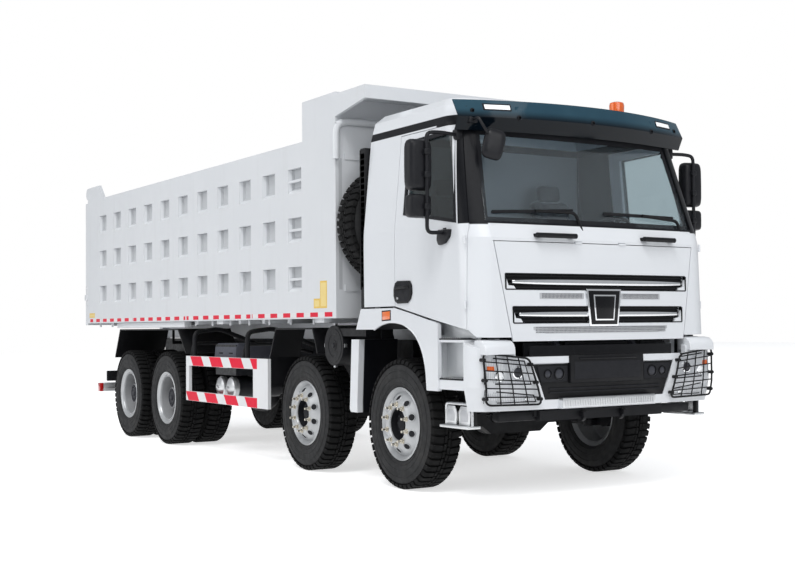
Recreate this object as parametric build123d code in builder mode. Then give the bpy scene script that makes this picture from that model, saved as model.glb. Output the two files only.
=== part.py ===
"""Forward-control 8x4 tipper truck, in millimetres, front facing -Y."""
import math
import os

from build123d import *

# Overall lengths, measured from the first axle.
front_reach = 1360
rear_reach = 8500
axle_1 = (front_reach - rear_reach) / 2
axle_2 = axle_1 + 1800
axle_3 = axle_1 + 5350
axle_4 = axle_1 + 6700

# Wheels.
tyre_radius = 550
tyre_width = 300
bead_radius = 285
front_track = 2060
twin_track = 2220
twin_spacing = 340
spindle_radius = 45
kingpin_x = 880
front_x = front_track / 2
twin_x = twin_track / 2

# Ladder frame.
rail_outer = 430
rail_flange = 80
rail_web = 10
rail_top = 1080
rail_height = 300
frame_front = axle_1 - 1180
frame_rear = axle_1 + 7600

# Cab.
cab_half_width = 1240
cab_wall = 60
cab_rear = axle_1 + 480
drip_height = 3010
cab_pivot = (axle_1 - 1225, 1130)
door_hinge = (1239, axle_1 - 1125)
door_hinge_heights = (1500, 2000)
flap_hinge = (axle_1 - 1264, 2033)
mirror_y = axle_1 - 840

# Bed.
bed_half_width = 1270
bed_wall = 90
floor_gap = 5
gate_half_width = bed_half_width - 8
bed_front = axle_1 + 945
bed_rear = axle_1 + 8330
bed_bottom = 1455
bed_top = 3140
bed_head_top = 3515
pocket_depth = 55
doghouse_half = 150
doghouse_top = 2950
doghouse_foot = axle_1 + 1478
bed_hinge = (axle_1 + 7700, 1190)
gate_hinge = (axle_1 + 8390, 3250)

# Hoist, from its lower pin to the eye at the headboard.
hoist_foot = (axle_1 + 720, 1010)
hoist_eye = (axle_1 + 800, 3080)

os.makedirs("parts", exist_ok=True)


def save(part, name):
    """Label a part and write its file."""
    part.label = name
    export_step(part, f"parts/{name}.step")


def block(x0, x1, y0, y1, z0, z1, mode=Mode.ADD):
    """A box between two opposite corners."""
    with Locations(((x0 + x1) / 2, (y0 + y1) / 2, (z0 + z1) / 2)):
        Box(abs(x1 - x0), abs(y1 - y0), abs(z1 - z0), mode=mode)


def side_plate(points, x0, x1, mode=Mode.ADD):
    """A plate with an outline of (y, z) points, between two x values."""
    with BuildSketch(Plane.YZ.offset(min(x0, x1))) as outline:
        with BuildLine():
            Polyline(*points, close=True)
        make_face()
    extrude(outline.sketch, amount=abs(x1 - x0), mode=mode)


def front_plate(points, y0, y1, mode=Mode.ADD):
    """A plate with an outline of (x, z) points, between two y values."""
    with BuildSketch(Plane.XZ.offset(-y1)) as outline:
        with BuildLine():
            Polyline(*points, close=True)
        make_face()
    extrude(outline.sketch, amount=y1 - y0, mode=mode)


def bar(start, end, radius, mode=Mode.ADD):
    """A round bar between two points."""
    axis = Vector(*end) - Vector(*start)
    with BuildSketch(Plane(origin=start, z_dir=axis)) as ring:
        Circle(radius)
    extrude(ring.sketch, amount=axis.length, mode=mode)


def turned(points, centre, side, mode=Mode.ADD):
    """A ring about an axis along X, from (outward, radius) points."""
    place = Plane(origin=centre, x_dir=(side, 0, 0), z_dir=(0, -side, 0))
    with BuildSketch(place) as profile:
        with BuildLine():
            Polyline(*points, close=True)
        make_face()
    revolve(profile.sketch, axis=Axis(centre, (1, 0, 0)), mode=mode)


def mirrored(points):
    """Points of a half outline, followed by their mirror images in x."""
    return points + [(-x, z) for x, z in reversed(points)]


def hull_section(z, half, front, rear, corner, bow):
    """The cab's outline at one height: straight back, rounded front."""
    f = axle_1 + front
    r = axle_1 + rear
    c = corner * (1 - math.sqrt(0.5))
    with BuildSketch(Plane.XY.offset(z)) as section:
        with BuildLine():
            Line((-half, r), (half, r))
            Line((half, r), (half, f + bow + corner))
            ThreePointArc((half, f + bow + corner), (half - c, f + bow + c), (half - corner, f + bow))
            ThreePointArc((half - corner, f + bow), (0, f), (corner - half, f + bow))
            ThreePointArc((corner - half, f + bow), (c - half, f + bow + c), (-half, f + bow + corner))
            Line((-half, f + bow + corner), (-half, r))
        make_face()
    return section.sketch


def cab_hull(inset):
    """The cab's walls as a solid, drawn in by an inset."""
    with BuildPart() as hull:
        sections = [
            hull_section(1200, 1235 - inset, -1302 + inset, 480 - inset, 210 - inset / 2, 30),
            hull_section(2060, 1240 - inset, -1262 + inset, 480 - inset, 210 - inset / 2, 30),
            hull_section(2180, 1238 - inset, -1225 + inset, 480 - inset, 200 - inset / 2, 35),
            hull_section(drip_height, 1160 - inset, -960 + inset, 475 - inset, 190 - inset / 2, 45),
        ]
        loft(sections, ruled=True)
    return hull.part


# Tyres: a shell with a flat tread, open towards the rim.
half_w = tyre_width / 2
tyre_outline = [
    (-104, bead_radius), (-104, 303), (-half_w + 22, 318), (-half_w, 420), (-half_w + 12, 505),
    (-half_w + 40, tyre_radius - 6), (-half_w + 70, tyre_radius), (half_w - 70, tyre_radius),
    (half_w - 40, tyre_radius - 6), (half_w - 12, 505), (half_w, 420), (half_w - 22, 318), (104, 303),
    (104, bead_radius), (76, bead_radius), (80, 318), (half_w - 28, 420), (half_w - 60, tyre_radius - 45),
    (-half_w + 60, tyre_radius - 45), (-half_w + 28, 420), (-80, 318), (-76, bead_radius),
]
barrel_outline = [
    (-118, 300), (-112, 300), (-106, bead_radius), (-60, bead_radius), (-30, 255), (30, 255),
    (60, bead_radius), (106, bead_radius), (112, 300), (118, 300), (118, 274), (60, 270), (30, 243),
    (-30, 243), (-60, 270), (-118, 274),
]
front_disc = [(30, 250), (44, 250), (78, 205), (96, 190), (96, 100), (82, 100), (82, 184), (66, 196)]
front_hub = [(-80, 45.1), (-80, 190), (-40, 190), (-40, 110), (82, 110), (82, 184), (88, 184), (88, 100),
             (128, 92), (128, 45.1)]
twin_disc = [(30, 250), (18, 250), (-130, 208), (-164, 196), (-164, 120), (-150, 120), (-150, 188),
             (-126, 196), (20, 238)]

for number, y, steered in ((1, axle_1, True), (2, axle_2, True), (3, axle_3, False), (4, axle_4, False)):
    for side, word in ((-1, "right"), (1, "left")):
        if steered:
            middle = (side * front_x, y, tyre_radius)
            with BuildPart() as tyre:
                turned(tyre_outline, middle, side)
            save(tyre.part, f"tyre_{number}_{word}")
            with BuildPart() as rim:
                turned(barrel_outline, middle, side)
                turned(front_disc, middle, side)
                turned(front_hub, middle, side)
            save(rim.part, f"rim_{number}_{word}")
        else:
            outer = (side * twin_x, y, tyre_radius)
            inner = (side * (twin_x - twin_spacing), y, tyre_radius)
            with BuildPart() as tyre:
                turned(tyre_outline, outer, side)
                turned(tyre_outline, inner, side)
            save(tyre.part, f"tyres_{number}_{word}")
            with BuildPart() as rim:
                turned(barrel_outline, outer, side)
                turned(barrel_outline, inner, side)
                turned(twin_disc, outer, side)
                turned([(-u, r) for u, r in twin_disc], inner, side)
                twin_hub = [(-430, 45.1), (-430, 190), (-240, 190), (-240, 120), (-176, 120), (-176, 190),
                            (-164, 190), (-164, 120), (-70, 110), (-70, 45.1)]
                turned(twin_hub, outer, side)
            save(rim.part, f"rims_{number}_{word}")

# Knuckles: forked round the beam's boss, with kingpin, spindle and steering arm in one.
for number, y in ((1, axle_1), (2, axle_2)):
    for side, word in ((-1, "right"), (1, "left")):
        with BuildPart() as knuckle:
            for low, high in ((435, 484), (616, 665)):
                bar((side * kingpin_x, y, low), (side * kingpin_x, y, high), 52)
                block(side * kingpin_x, side * 940, y - 52, y + 52, low, high)
            bar((side * kingpin_x, y, 440), (side * kingpin_x, y, 660), 25)
            block(side * 936, side * 942, y - 85, y + 85, 435, 665)
            bar((side * 940, y, tyre_radius), (side * (front_x + 126), y, tyre_radius), spindle_radius)
            block(side * 862, side * 898, y + 40, y + 240, 440, 468)
        save(knuckle.part, f"knuckle_{number}_{word}")

# Steer axle beams, dropped in the middle, with a boss round each kingpin.
with BuildPart() as steer_axles:
    for y in (axle_1, axle_2):
        beam = [(0, 520), (250, 520), (330, 600), (840, 600), (840, 495), (360, 490), (270, 420), (0, 420)]
        front_plate(beam[1:7] + [(-x, z) for x, z in reversed(beam[1:7])], y - 55, y + 55)
        for side in (-1, 1):
            bar((side * kingpin_x, y, 490), (side * kingpin_x, y, 610), 48)
            bar((side * kingpin_x, y, 480), (side * kingpin_x, y, 620), 25.1, Mode.SUBTRACT)
save(steer_axles.part, "steer_axles")

# Drive axles: tubes, a round centre and stub ends for the hubs.
with BuildPart() as drive_axles:
    for y in (axle_3, axle_4):
        bar((-665, y, tyre_radius), (665, y, tyre_radius), 75)
        bar((-1050, y, tyre_radius), (1050, y, tyre_radius), spindle_radius)
        with Locations((0, y, tyre_radius)):
            Sphere(215)
save(drive_axles.part, "drive_axles")

# Leaf springs, one stack over each steer axle end and one across each pair of drive axles.
bogie = (axle_3 + axle_4) / 2
with BuildPart() as leaf_springs:
    for side in (-1, 1):
        for y in (axle_1, axle_2):
            with BuildSketch(Plane.YZ.offset(side * 390 - 45)) as stack:
                with BuildLine():
                    ThreePointArc((y - 740, 772), (y, 700), (y + 740, 772))
                    Line((y + 740, 772), (y + 740, 735))
                    Polyline((y + 740, 735), (y + 260, 640), (y + 80, 600), (y - 80, 600), (y - 260, 640),
                             (y - 740, 735))
                    Line((y - 740, 735), (y - 740, 772))
                make_face()
            extrude(amount=90)
        with BuildSketch(Plane.YZ.offset(side * 390 - 45)) as stack:
            with BuildLine():
                ThreePointArc((bogie - 740, 690), (bogie, 772), (bogie + 740, 690))
                Polyline((bogie + 740, 690), (bogie + 740, 626), (bogie + 600, 626), (bogie + 120, 650),
                         (bogie - 120, 650), (bogie - 600, 626), (bogie - 740, 626), (bogie - 740, 690))
            make_face()
        extrude(amount=90)
save(leaf_springs.part, "leaf_springs")

# Chassis frame: rails, cross-members, sub-frame, brackets, rear bar and tow lugs.
rail_bottom = rail_top - rail_height
rail_inner = rail_outer - rail_flange
with BuildPart() as chassis_frame:
    for side in (-1, 1):
        block(side * rail_inner, side * rail_outer, frame_front, frame_rear, rail_bottom, rail_top)
        block(side * rail_inner, side * (rail_outer - rail_web), frame_front - 1, frame_rear + 1,
              rail_bottom + rail_web, rail_top - rail_web, Mode.SUBTRACT)
    for y in (frame_front, axle_1 + 2700, axle_1 + 4300, bogie - 60, frame_rear - 120):
        block(-rail_outer + 5, rail_outer - 5, y, y + 120, rail_top - 170, rail_top - 12)
    block(-rail_outer + 5, rail_outer - 5, axle_1 + 800, axle_1 + 880, 930, 1000)
    for side in (-1, 1):
        block(side * rail_inner, side * rail_outer, axle_1 + 1000, frame_rear, rail_top, 1240)
        for y in (axle_1 - 820, axle_1 + 740, axle_2 - 820, axle_2 + 740):
            block(side * 345, side * 429, y, y + 80, 700, rail_bottom)
        block(side * 290, side * 344, bogie - 90, bogie + 90, 550, rail_bottom + 8)
        block(side * 290, side * 400, bogie - 90, bogie + 90, rail_bottom - 4, rail_bottom + 8)
        block(side * 290, side * 440, bogie - 90, bogie + 90, 550, 650)
        block(side * 56, side * 86, axle_1 + 655, axle_1 + 805, 945, 1060)
        for x in (345, 428):
            side_plate([(frame_front + 20, 1066), (frame_front + 20, 930), (cab_pivot[0] - 40, 1090),
                        (cab_pivot[0] - 40, 1165), (cab_pivot[0] + 40, 1165)], side * x, side * (x + 27))
        bar((side * 345, *cab_pivot), (side * 455, *cab_pivot), 25)
        block(side * 375, side * 405, frame_rear - 60, bed_hinge[0], 1135, 1235)
        bar((side * 375, *bed_hinge), (side * 405, *bed_hinge), 55)
        bar((side * 340, *bed_hinge), (side * 440, *bed_hinge), 30)
    bar((-86, *hoist_foot), (86, *hoist_foot), 40)
    block(-rail_outer + 5, rail_outer - 5, frame_front - 90, frame_front + 10, 620, 700)
    block(-640, 640, frame_front - 90, frame_front - 10, 620, 700)
    for side in (-1, 1):
        block(side * 360, side * 425, frame_front - 60, frame_front + 60, 690, rail_top - 160)
        block(side * 180, side * 240, frame_front - 140, frame_front - 80, 640, 680)
        bar((side * 210, frame_front - 115, 630), (side * 210, frame_front - 115, 690), 16, Mode.SUBTRACT)
    for side in (-1, 1):
        side_plate([(frame_rear - 60, 800), (frame_rear - 10, 800), (frame_rear + 470, 650),
                    (frame_rear + 470, 540), (frame_rear + 430, 540)], side * 395, side * 425)
    block(-1190, 1190, frame_rear + 440, frame_rear + 500, 530, 630)
    block(-60, 60, frame_rear - 10, frame_rear + 90, 905, 945)
    bar((0, frame_rear + 50, 890), (0, frame_rear + 50, 960), 20, Mode.SUBTRACT)
save(chassis_frame.part, "chassis_frame")

# Post that carries the spare wheel, on a foot out from the right rail.
with BuildPart() as spare_carrier:
    block(-820, -700, axle_1 + 908, axle_1 + 930, 1000, 2420)
    block(-800, -rail_outer, axle_1 + 908, axle_1 + 930, 1000, rail_top - 12)
save(spare_carrier.part, "spare_carrier")

# Engine, gearbox and shafts.
with BuildPart() as driveline:
    block(-330, 330, axle_1 - 560, axle_1 + 590, 660, 1320)
    block(-170, 170, axle_1 + 580, axle_1 + 1400, 640, 900)
    bar((0, axle_1 + 1380, 760), (0, axle_3 - 225, 620), 60)
    bar((0, axle_3 + 225, 580), (0, axle_4 - 225, 580), 50)
save(driveline.part, "driveline")

with BuildPart() as fuel_tank:
    block(560, 1170, axle_1 + 2720, axle_1 + 4300, 540, 1140)
    fillet(fuel_tank.edges().filter_by(Axis.Y), 110)
    for y in (axle_1 + 2950, axle_1 + 4000):
        block(rail_outer, 570, y, y + 80, 830, 1000)
save(fuel_tank.part, "fuel_tank")

# Battery box with two air tanks hung under it.
with BuildPart() as battery_rack:
    block(-1130, -640, axle_1 + 3540, axle_1 + 4100, 860, 1190)
    block(-650, -rail_outer, axle_1 + 3600, axle_1 + 4040, 880, 1040)
    for y in (axle_1 + 3700, axle_1 + 3990):
        bar((-1110, y, 725), (-560, y, 725), 115)
        block(-900, -800, y - 60, y + 60, 725, 870)
save(battery_rack.part, "battery_rack")

# Side guards: a plate frame on two arms each side.
with BuildPart() as side_guards:
    for side in (-1, 1):
        block(side * 1228, side * 1262, axle_1 + 2440, axle_1 + 4660, 555, 1060)
        block(side * 1200, side * 1300, axle_1 + 2800, axle_1 + 4570, 660, 950, Mode.SUBTRACT)
        for y in (axle_1 + 2500, axle_1 + 4580):
            block(side * rail_outer, side * 1240, y, y + 50, 990, 1040)
save(side_guards.part, "side_guards")

# Steps and wheel arches fixed to the frame under the cab, with the guards behind the front wheels.
arch_outer = [(610, 1350), (520, 1530), (-60, 1530), (-330, 1480), (-700, 1405), (-742, 1390), (-742, 858)]
arch_inner = [(-575, 858), (-560, 1010), (-500, 1180), (-390, 1310), (-200, 1395), (60, 1412), (300, 1350)]
with BuildPart() as cab_arches:
    for side in (-1, 1):
        panel = [(axle_1 + y, z) for y, z in arch_outer + arch_inner]
        side_plate(panel, side * 1215, side * 1250)
        lip = [(axle_1 + y, z) for y, z in arch_inner]
        skin = lip + [(lip[-1][0] + 8, lip[-1][1] + 12), (axle_1 + 62, 1424), (axle_1 - 206, 1407),
                      (axle_1 - 398, 1320), (axle_1 - 511, 1186), (axle_1 - 572, 1013), (axle_1 - 587, 858)]
        side_plate(skin, side * 905, side * 1220)
        block(side * 900, side * 950, axle_1 - 1100, axle_1 - 578, 862, 1270)
        for z in (1246, 930):
            block(side * 940, side * 1232, axle_1 - 1098, axle_1 - 730, z, z + 20)
        block(side * 1212, side * 1238, axle_1 - 1096, axle_1 - 725, 874, 944)
        block(side * rail_outer, side * 920, axle_1 - 800, axle_1 - 740, 900, 922)
        guard = [(620, 1262), (660, 700), (660, 615), (780, 615), (800, 640), (760, 1262)]
        side_plate([(axle_1 + y, z) for y, z in guard], side * 820, side * 1215)
        block(side * rail_outer, side * 850, axle_1 + 690, axle_1 + 730, 950, 990)
save(cab_arches.part, "cab_arches")

# Fenders over the second axle and the rear pair.
with BuildPart() as fenders:
    for side in (-1, 1):
        second = [(1414, 1133), (1515, 1370), (2336, 1370), (2481, 1080), (2465, 800), (2450, 800),
                  (2463, 1076), (2326, 1354), (1526, 1354), (1428, 1127)]
        side_plate([(axle_1 + y, z) for y, z in second], side * 900, side * 1224)
        rear = [(4692, 1091), (4943, 1370), (7024, 1370), (7228, 1005), (7212, 1000), (7014, 1354),
                (4951, 1354), (4705, 1082)]
        side_plate([(axle_1 + y, z) for y, z in rear], side * 600, side * 1250)
        for y, reach in ((1880, 915), (5200, 615), (6800, 615)):
            block(side * rail_outer, side * reach, axle_1 + y, axle_1 + y + 40, 1170, 1210)
            block(side * (reach - 20), side * reach, axle_1 + y, axle_1 + y + 40, 1170, 1356)
save(fenders.part, "fenders")

# Air cleaner lying across the frame, with its snorkel up the back of the cab.
with BuildPart() as air_cleaner:
    bar((-1200, axle_1 + 1130, 1205), (-660, axle_1 + 1130, 1205), 185)
    block(-1212, -1120, axle_1 + 500, axle_1 + 580, 1290, 2950)
    block(-1195, -1130, axle_1 + 570, axle_1 + 1020, 1290, 1360)
    block(-720, -rail_outer, axle_1 + 1100, axle_1 + 1160, 1000, 1060)
    block(-720, -670, axle_1 + 1100, axle_1 + 1160, 1000, 1100)
save(air_cleaner.part, "air_cleaner")

# Spare wheel standing behind the cab.
with BuildPart() as spare_wheel:
    with BuildSketch(Plane(origin=(-760, axle_1 + 748, 2300), x_dir=(0, 1, 0), z_dir=(-1, 0, 0))) as profile:
        with BuildLine():
            Polyline((-115, bead_radius), (-150, 420), (-110, 540), (110, 540), (150, 420), (115, bead_radius),
                     (100, 270), (20, 250), (160, 200), (160, 0), (145, 0), (145, 190), (-100, 270), close=True)
        make_face()
    revolve(axis=Axis((-760, axle_1 + 748, 2300), (0, 1, 0)))
save(spare_wheel.part, "spare_wheel")

# Front bumper with its recessed middle and step bar, and the lamps set into its corners.
lamp_outline = [(690, 772), (1150, 772), (1172, 1150), (785, 1100)]


def bumper_hull(inset, top):
    """The bumper's outline as a solid, drawn in by an inset."""
    with BuildPart() as hull:
        sections = [
            hull_section(715, 1215 - inset, -1322 + inset, -1112, 140 - inset / 2, 40),
            hull_section(900, 1250 - inset, -1337 + inset, -1112, 140 - inset / 2, 40),
            hull_section(top, 1250 - inset, -1322 + inset, -1112, 140 - inset / 2, 40),
        ]
        loft(sections, ruled=True)
    return hull.part


with BuildPart() as bumper_shell:
    add(bumper_hull(0, 1250))
    with BuildPart(mode=Mode.PRIVATE) as hollow:
        add(bumper_hull(50, 1250))
        block(-1180, 1180, axle_1 - 1200, axle_1 - 1000, 700, 1260)
    add(hollow.part, mode=Mode.SUBTRACT)
    side_plate([(axle_1 - 1400, 1188), (axle_1 - 1280, 1192), (axle_1 - 1112, 1245), (axle_1 - 1000, 1300),
                (axle_1 - 1400, 1300)], -1300, 1300, Mode.SUBTRACT)
    block(-890, 890, axle_1 - 1400, axle_1 - 1000, 1128, 1300, Mode.SUBTRACT)

with BuildPart() as headlamps:
    for side in (-1, 1):
        front_plate([(side * x, z) for x, z in lamp_outline], axle_1 - 1400, axle_1 - 1105)
    add(bumper_shell.part, mode=Mode.INTERSECT)
save(headlamps.part, "headlamps")

with BuildPart() as front_bumper:
    add(bumper_shell.part)
    for side in (-1, 1):
        front_plate([(side * x, z) for x, z in lamp_outline], axle_1 - 1400, axle_1 - 1105, Mode.SUBTRACT)
    front_plate(mirrored([(740, 1075), (620, 788)]), axle_1 - 1400, axle_1 - 1302, Mode.SUBTRACT)
    block(-490, 490, axle_1 - front_reach, axle_1 - 1280, 715, 780)
save(front_bumper.part, "front_bumper")

# Cab walls, split where the panels meet.
cab_outer = cab_hull(0)
cab_bottom = [(600, 1000), (600, 1545), (-50, 1545), (-700, 1420), (-1138, 1345), (-1200, 1285), (-1400, 1277),
              (-1400, 1000)]
with BuildPart() as cab_shell:
    add(cab_outer)
    add(cab_hull(cab_wall), mode=Mode.SUBTRACT)

door_opening = [(-52, 1200), (-52, 2985), (-885, 2985), (-1128, 2150), (-1128, 1200)]
door_edge = [(-58, 1200), (-58, 2979), (-881, 2979), (-1122, 2150), (-1122, 1200)]
door_window = [(-205, 2322), (-205, 2905), (-830, 2920), (-985, 2200)]
screen_outline = [(1085, 2190), (1000, 2955)]
front_split = 1062
flap_opening = [(1044, 2036), (872, 1100)]
flap_edge = [(1035, 2030), (892, 1250)]
flap_core = [(1005, 2040), (858, 1240)]
flap_skin = 16
grille_slots = ([(947, 1780), (918, 1688), (870, 1684), (848, 1657)],
                [(887, 1521), (860, 1432), (815, 1426), (793, 1393)])
grille_depth = 35

with BuildPart() as cab_back:
    block(-1100, 1100, axle_1 + 300, axle_1 + 600, 1500, drip_height)
    add(cab_shell.part, mode=Mode.INTERSECT)
    side_plate([(axle_1 + y, z) for y, z in cab_bottom], -1300, 1300, Mode.SUBTRACT)
save(cab_back.part, "cab_back")

with BuildPart() as cab_sides:
    for side in (-1, 1):
        block(side * front_split, side * 1300, axle_1 - 1400, axle_1 + 400, 1200, drip_height)
        block(side * 1100, side * 1300, axle_1 + 399, axle_1 + 600, 1200, drip_height)
    add(cab_shell.part, mode=Mode.INTERSECT)
    side_plate([(axle_1 + y, z) for y, z in cab_bottom], -1300, 1300, Mode.SUBTRACT)
    for side in (-1, 1):
        side_plate([(axle_1 + y, z) for y, z in door_opening], side * 1040, side * 1300, Mode.SUBTRACT)
        for z in door_hinge_heights:
            bar((side * door_hinge[0], door_hinge[1], z), (side * door_hinge[0], door_hinge[1], z + 80), 16,
                Mode.SUBTRACT)
    front_plate(mirrored(screen_outline), axle_1 - 1400, axle_1 - 800, Mode.SUBTRACT)
save(cab_sides.part, "cab_sides")

with BuildPart() as cab_front:
    block(-front_split, front_split, axle_1 - 1400, axle_1 - 700, 1200, drip_height)
    add(cab_shell.part, mode=Mode.INTERSECT)
    side_plate([(axle_1 + y, z) for y, z in cab_bottom], -1300, 1300, Mode.SUBTRACT)
    front_plate(mirrored(screen_outline), axle_1 - 1400, axle_1 - 800, Mode.SUBTRACT)
    front_plate(mirrored(flap_opening), axle_1 - 1400, axle_1 - 1100, Mode.SUBTRACT)
    for side in (-1, 1):
        side_plate([(axle_1 + y, z) for y, z in door_opening], side * 1040, side * 1300, Mode.SUBTRACT)
    block(-1040, 1040, axle_1 - 1165, axle_1 - 1130, 1455, 2160)
    block(-1040, 1040, axle_1 - 1200, axle_1 - 1130, 2110, 2170)
    for side in (-1, 1):
        bar((side * 190, *flap_hinge), (side * 270, *flap_hinge), 15, Mode.SUBTRACT)
save(cab_front.part, "cab_front")

# The flap under the windscreen, with two grille slots sunk into its face.
with BuildPart() as grille_cut:
    for slot in grille_slots:
        front_plate(mirrored(slot), axle_1 - 1400, axle_1 - 1100)
    add(cab_hull(grille_depth), mode=Mode.SUBTRACT)

with BuildPart() as flap_rebate:
    add(cab_hull(flap_skin))
    front_plate(mirrored(flap_core), axle_1 - 1400, axle_1 - 1100, Mode.SUBTRACT)

with BuildPart() as front_flap:
    front_plate(mirrored(flap_edge), axle_1 - 1400, axle_1 - 1100)
    add(cab_shell.part, mode=Mode.INTERSECT)
    add(flap_rebate.part, mode=Mode.SUBTRACT)
    for side in (-1, 1):
        bar((side * 196, *flap_hinge), (side * 264, *flap_hinge), 9)
    add(grille_cut.part, mode=Mode.SUBTRACT)
save(front_flap.part, "front_flap")

with BuildPart() as windscreen:
    front_plate(mirrored(screen_outline), axle_1 - 1400, axle_1 - 800)
    add(cab_hull(22), mode=Mode.INTERSECT)
    add(cab_hull(28), mode=Mode.SUBTRACT)
save(windscreen.part, "windscreen")

for side, word in ((-1, "right"), (1, "left")):
    with BuildPart() as door:
        side_plate([(axle_1 + y, z) for y, z in door_edge], side * 1050, side * 1300)
        add(cab_shell.part, mode=Mode.INTERSECT)
        side_plate([(axle_1 + y, z) for y, z in cab_bottom], -1300, 1300, Mode.SUBTRACT)
        side_plate([(axle_1 + y, z) for y, z in door_window], side * 1040, side * 1300, Mode.SUBTRACT)
        for z in door_hinge_heights:
            bar((side * door_hinge[0], door_hinge[1], z + 8), (side * door_hinge[0], door_hinge[1], z + 72), 10)
    save(door.part, f"door_{word}")
    with BuildPart() as glass:
        side_plate([(axle_1 + y, z) for y, z in door_window], side * 1040, side * 1300)
        add(cab_hull(28), mode=Mode.INTERSECT)
        add(cab_hull(34), mode=Mode.SUBTRACT)
    save(glass.part, f"door_glass_{word}")
    with BuildPart() as mirror:
        block(side * 1345, side * 1560, mirror_y - 10, mirror_y + 90, 2220, 2412)
        block(side * 1345, side * 1560, mirror_y - 10, mirror_y + 90, 2432, 2850)
        bar((side * 1420, mirror_y, 2100), (side * 1420, mirror_y, 2905), 16)
        bar((side * 1420, mirror_y, 2115), (side * 1180, mirror_y, 2115), 15)
        bar((side * 1420, mirror_y, 2888), (side * 1080, mirror_y - 20, 2892), 15)
        add(cab_outer, mode=Mode.SUBTRACT)
    save(mirror.part, f"mirror_{word}")

with BuildPart() as cab_roof:
    loft([
        hull_section(drip_height, 1160, -960, 475, 190, 45),
        hull_section(3160, 1125, -900, 460, 190, 60),
        hull_section(3225, 1060, -820, 400, 160, 60),
    ], ruled=True)
    with BuildPart(mode=Mode.PRIVATE) as hollow:
        loft([
            hull_section(drip_height, 1100, -900, 415, 160, 45),
            hull_section(3180, 1050, -820, 390, 150, 60),
        ], ruled=True)
    add(hollow.part, mode=Mode.SUBTRACT)
save(cab_roof.part, "cab_roof")

# Sun visor across the top of the windscreen, on three arms.
with BuildPart() as roof_visor:
    bands = []
    for z, middle, end in ((2925, -1095, -930), (3025, -1190, -985), (3170, -1165, -900)):
        with BuildSketch(Plane.XY.offset(z)) as band:
            with BuildLine():
                ThreePointArc((-1190, axle_1 + end), (0, axle_1 + middle), (1190, axle_1 + end))
                Line((1190, axle_1 + end), (1190, axle_1 + end + 12))
                ThreePointArc((1190, axle_1 + end + 12), (0, axle_1 + middle + 12), (-1190, axle_1 + end + 12))
                Line((-1190, axle_1 + end + 12), (-1190, axle_1 + end))
            make_face()
        bands.append(band.sketch)
    loft(bands, ruled=True)
    for x, reach in ((-700, 1095), (0, 1170), (700, 1095)):
        block(x - 20, x + 20, axle_1 - reach, axle_1 - 850, 3090, 3120)
    add(cab_roof.part, mode=Mode.SUBTRACT)
    block(-1300, 1300, axle_1 - 880, axle_1 - 600, 3000, 3200, Mode.SUBTRACT)
save(roof_visor.part, "roof_visor")

# Cab floor with a lower footwell and two lugs for the tilt pivot.
with BuildPart() as cab_floor:
    side_plate([(axle_1 + y, z) for y, z in ((415, 1600), (-560, 1600), (-640, 1450), (-1125, 1450), (-1125, 1400),
                (-600, 1400), (-520, 1550), (415, 1550))], -1050, 1050)
    for side in (-1, 1):
        side_plate([(axle_1 - 960, 1410), (axle_1 - 1050, 1410), (cab_pivot[0] - 30, 1150),
                    (cab_pivot[0] - 34, 1115), (cab_pivot[0] + 34, 1115)], side * 380, side * 420)
        bar((side * 380, *cab_pivot), (side * 420, *cab_pivot), 38)
        bar((side * 370, *cab_pivot), (side * 430, *cab_pivot), 25.1, Mode.SUBTRACT)
save(cab_floor.part, "cab_floor")

column_top = Vector(560, axle_1 - 640, 2190)
column_axis = Vector(0, math.sin(math.radians(28)), math.cos(math.radians(28)))
with BuildPart() as dashboard:
    side_plate([(axle_1 + y, z) for y, z in ((-1128, 1800), (-1128, 2150), (-1000, 2185), (-800, 2110), (-760, 1960),
                (-840, 1800))], -1060, 1060)
    bar(tuple(column_top - column_axis * 330), tuple(column_top - column_axis * 60), 45)
save(dashboard.part, "dashboard")

with BuildPart() as steering_wheel:
    with Locations(Plane(origin=column_top, z_dir=column_axis)):
        Torus(225, 17)
        with Locations((0, 0, -14)):
            Cylinder(60, 50)
            Box(440, 40, 16)
            Box(40, 440, 16)
save(steering_wheel.part, "steering_wheel")

with BuildPart() as seats:
    for x in (-560, 560):
        block(x - 200, x + 200, axle_1 - 330, axle_1 + 120, 1600, 1800)
        side_plate([(axle_1 + y, z) for y, z in ((-420, 1790), (-430, 1900), (-380, 1930), (60, 1900), (150, 2520),
                    (180, 2650), (250, 2650), (260, 2500), (190, 1790))], x - 250, x + 250)
save(seats.part, "seats")

# Bed floor on two sills, with ears round the hinge pins.
bed_inside = bed_half_width - bed_wall
floor_half = bed_inside - floor_gap
with BuildPart() as bed_floor:
    block(-floor_half, floor_half, bed_front + 85, bed_rear - 10, bed_bottom, bed_bottom + 12)
    block(-doghouse_half, doghouse_half, bed_front, doghouse_foot, bed_bottom - 1, bed_bottom + 13,
          Mode.SUBTRACT)
    for side in (-1, 1):
        block(side * 300, side * 380, bed_front + 60, bed_hinge[0] + 40, 1246, bed_bottom)
    for k in range(11):
        y = axle_1 + 1500 + 600 * k
        block(-floor_half, floor_half, y, y + 60, 1415, bed_bottom)
    block(-450, 450, bed_hinge[0] - 60, bed_hinge[0] + 60, 1246, bed_bottom)
    for side in (-1, 1):
        for x0, x1 in ((342, 370), (410, 438)):
            bar((side * x0, *bed_hinge), (side * x1, *bed_hinge), 58)
            block(side * x0, side * x1, bed_hinge[0] - 58, bed_hinge[0] + 58, bed_hinge[1], 1250)
            bar((side * 335, *bed_hinge), (side * 445, *bed_hinge), 30.1, Mode.SUBTRACT)
save(bed_floor.part, "bed_floor")

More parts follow.
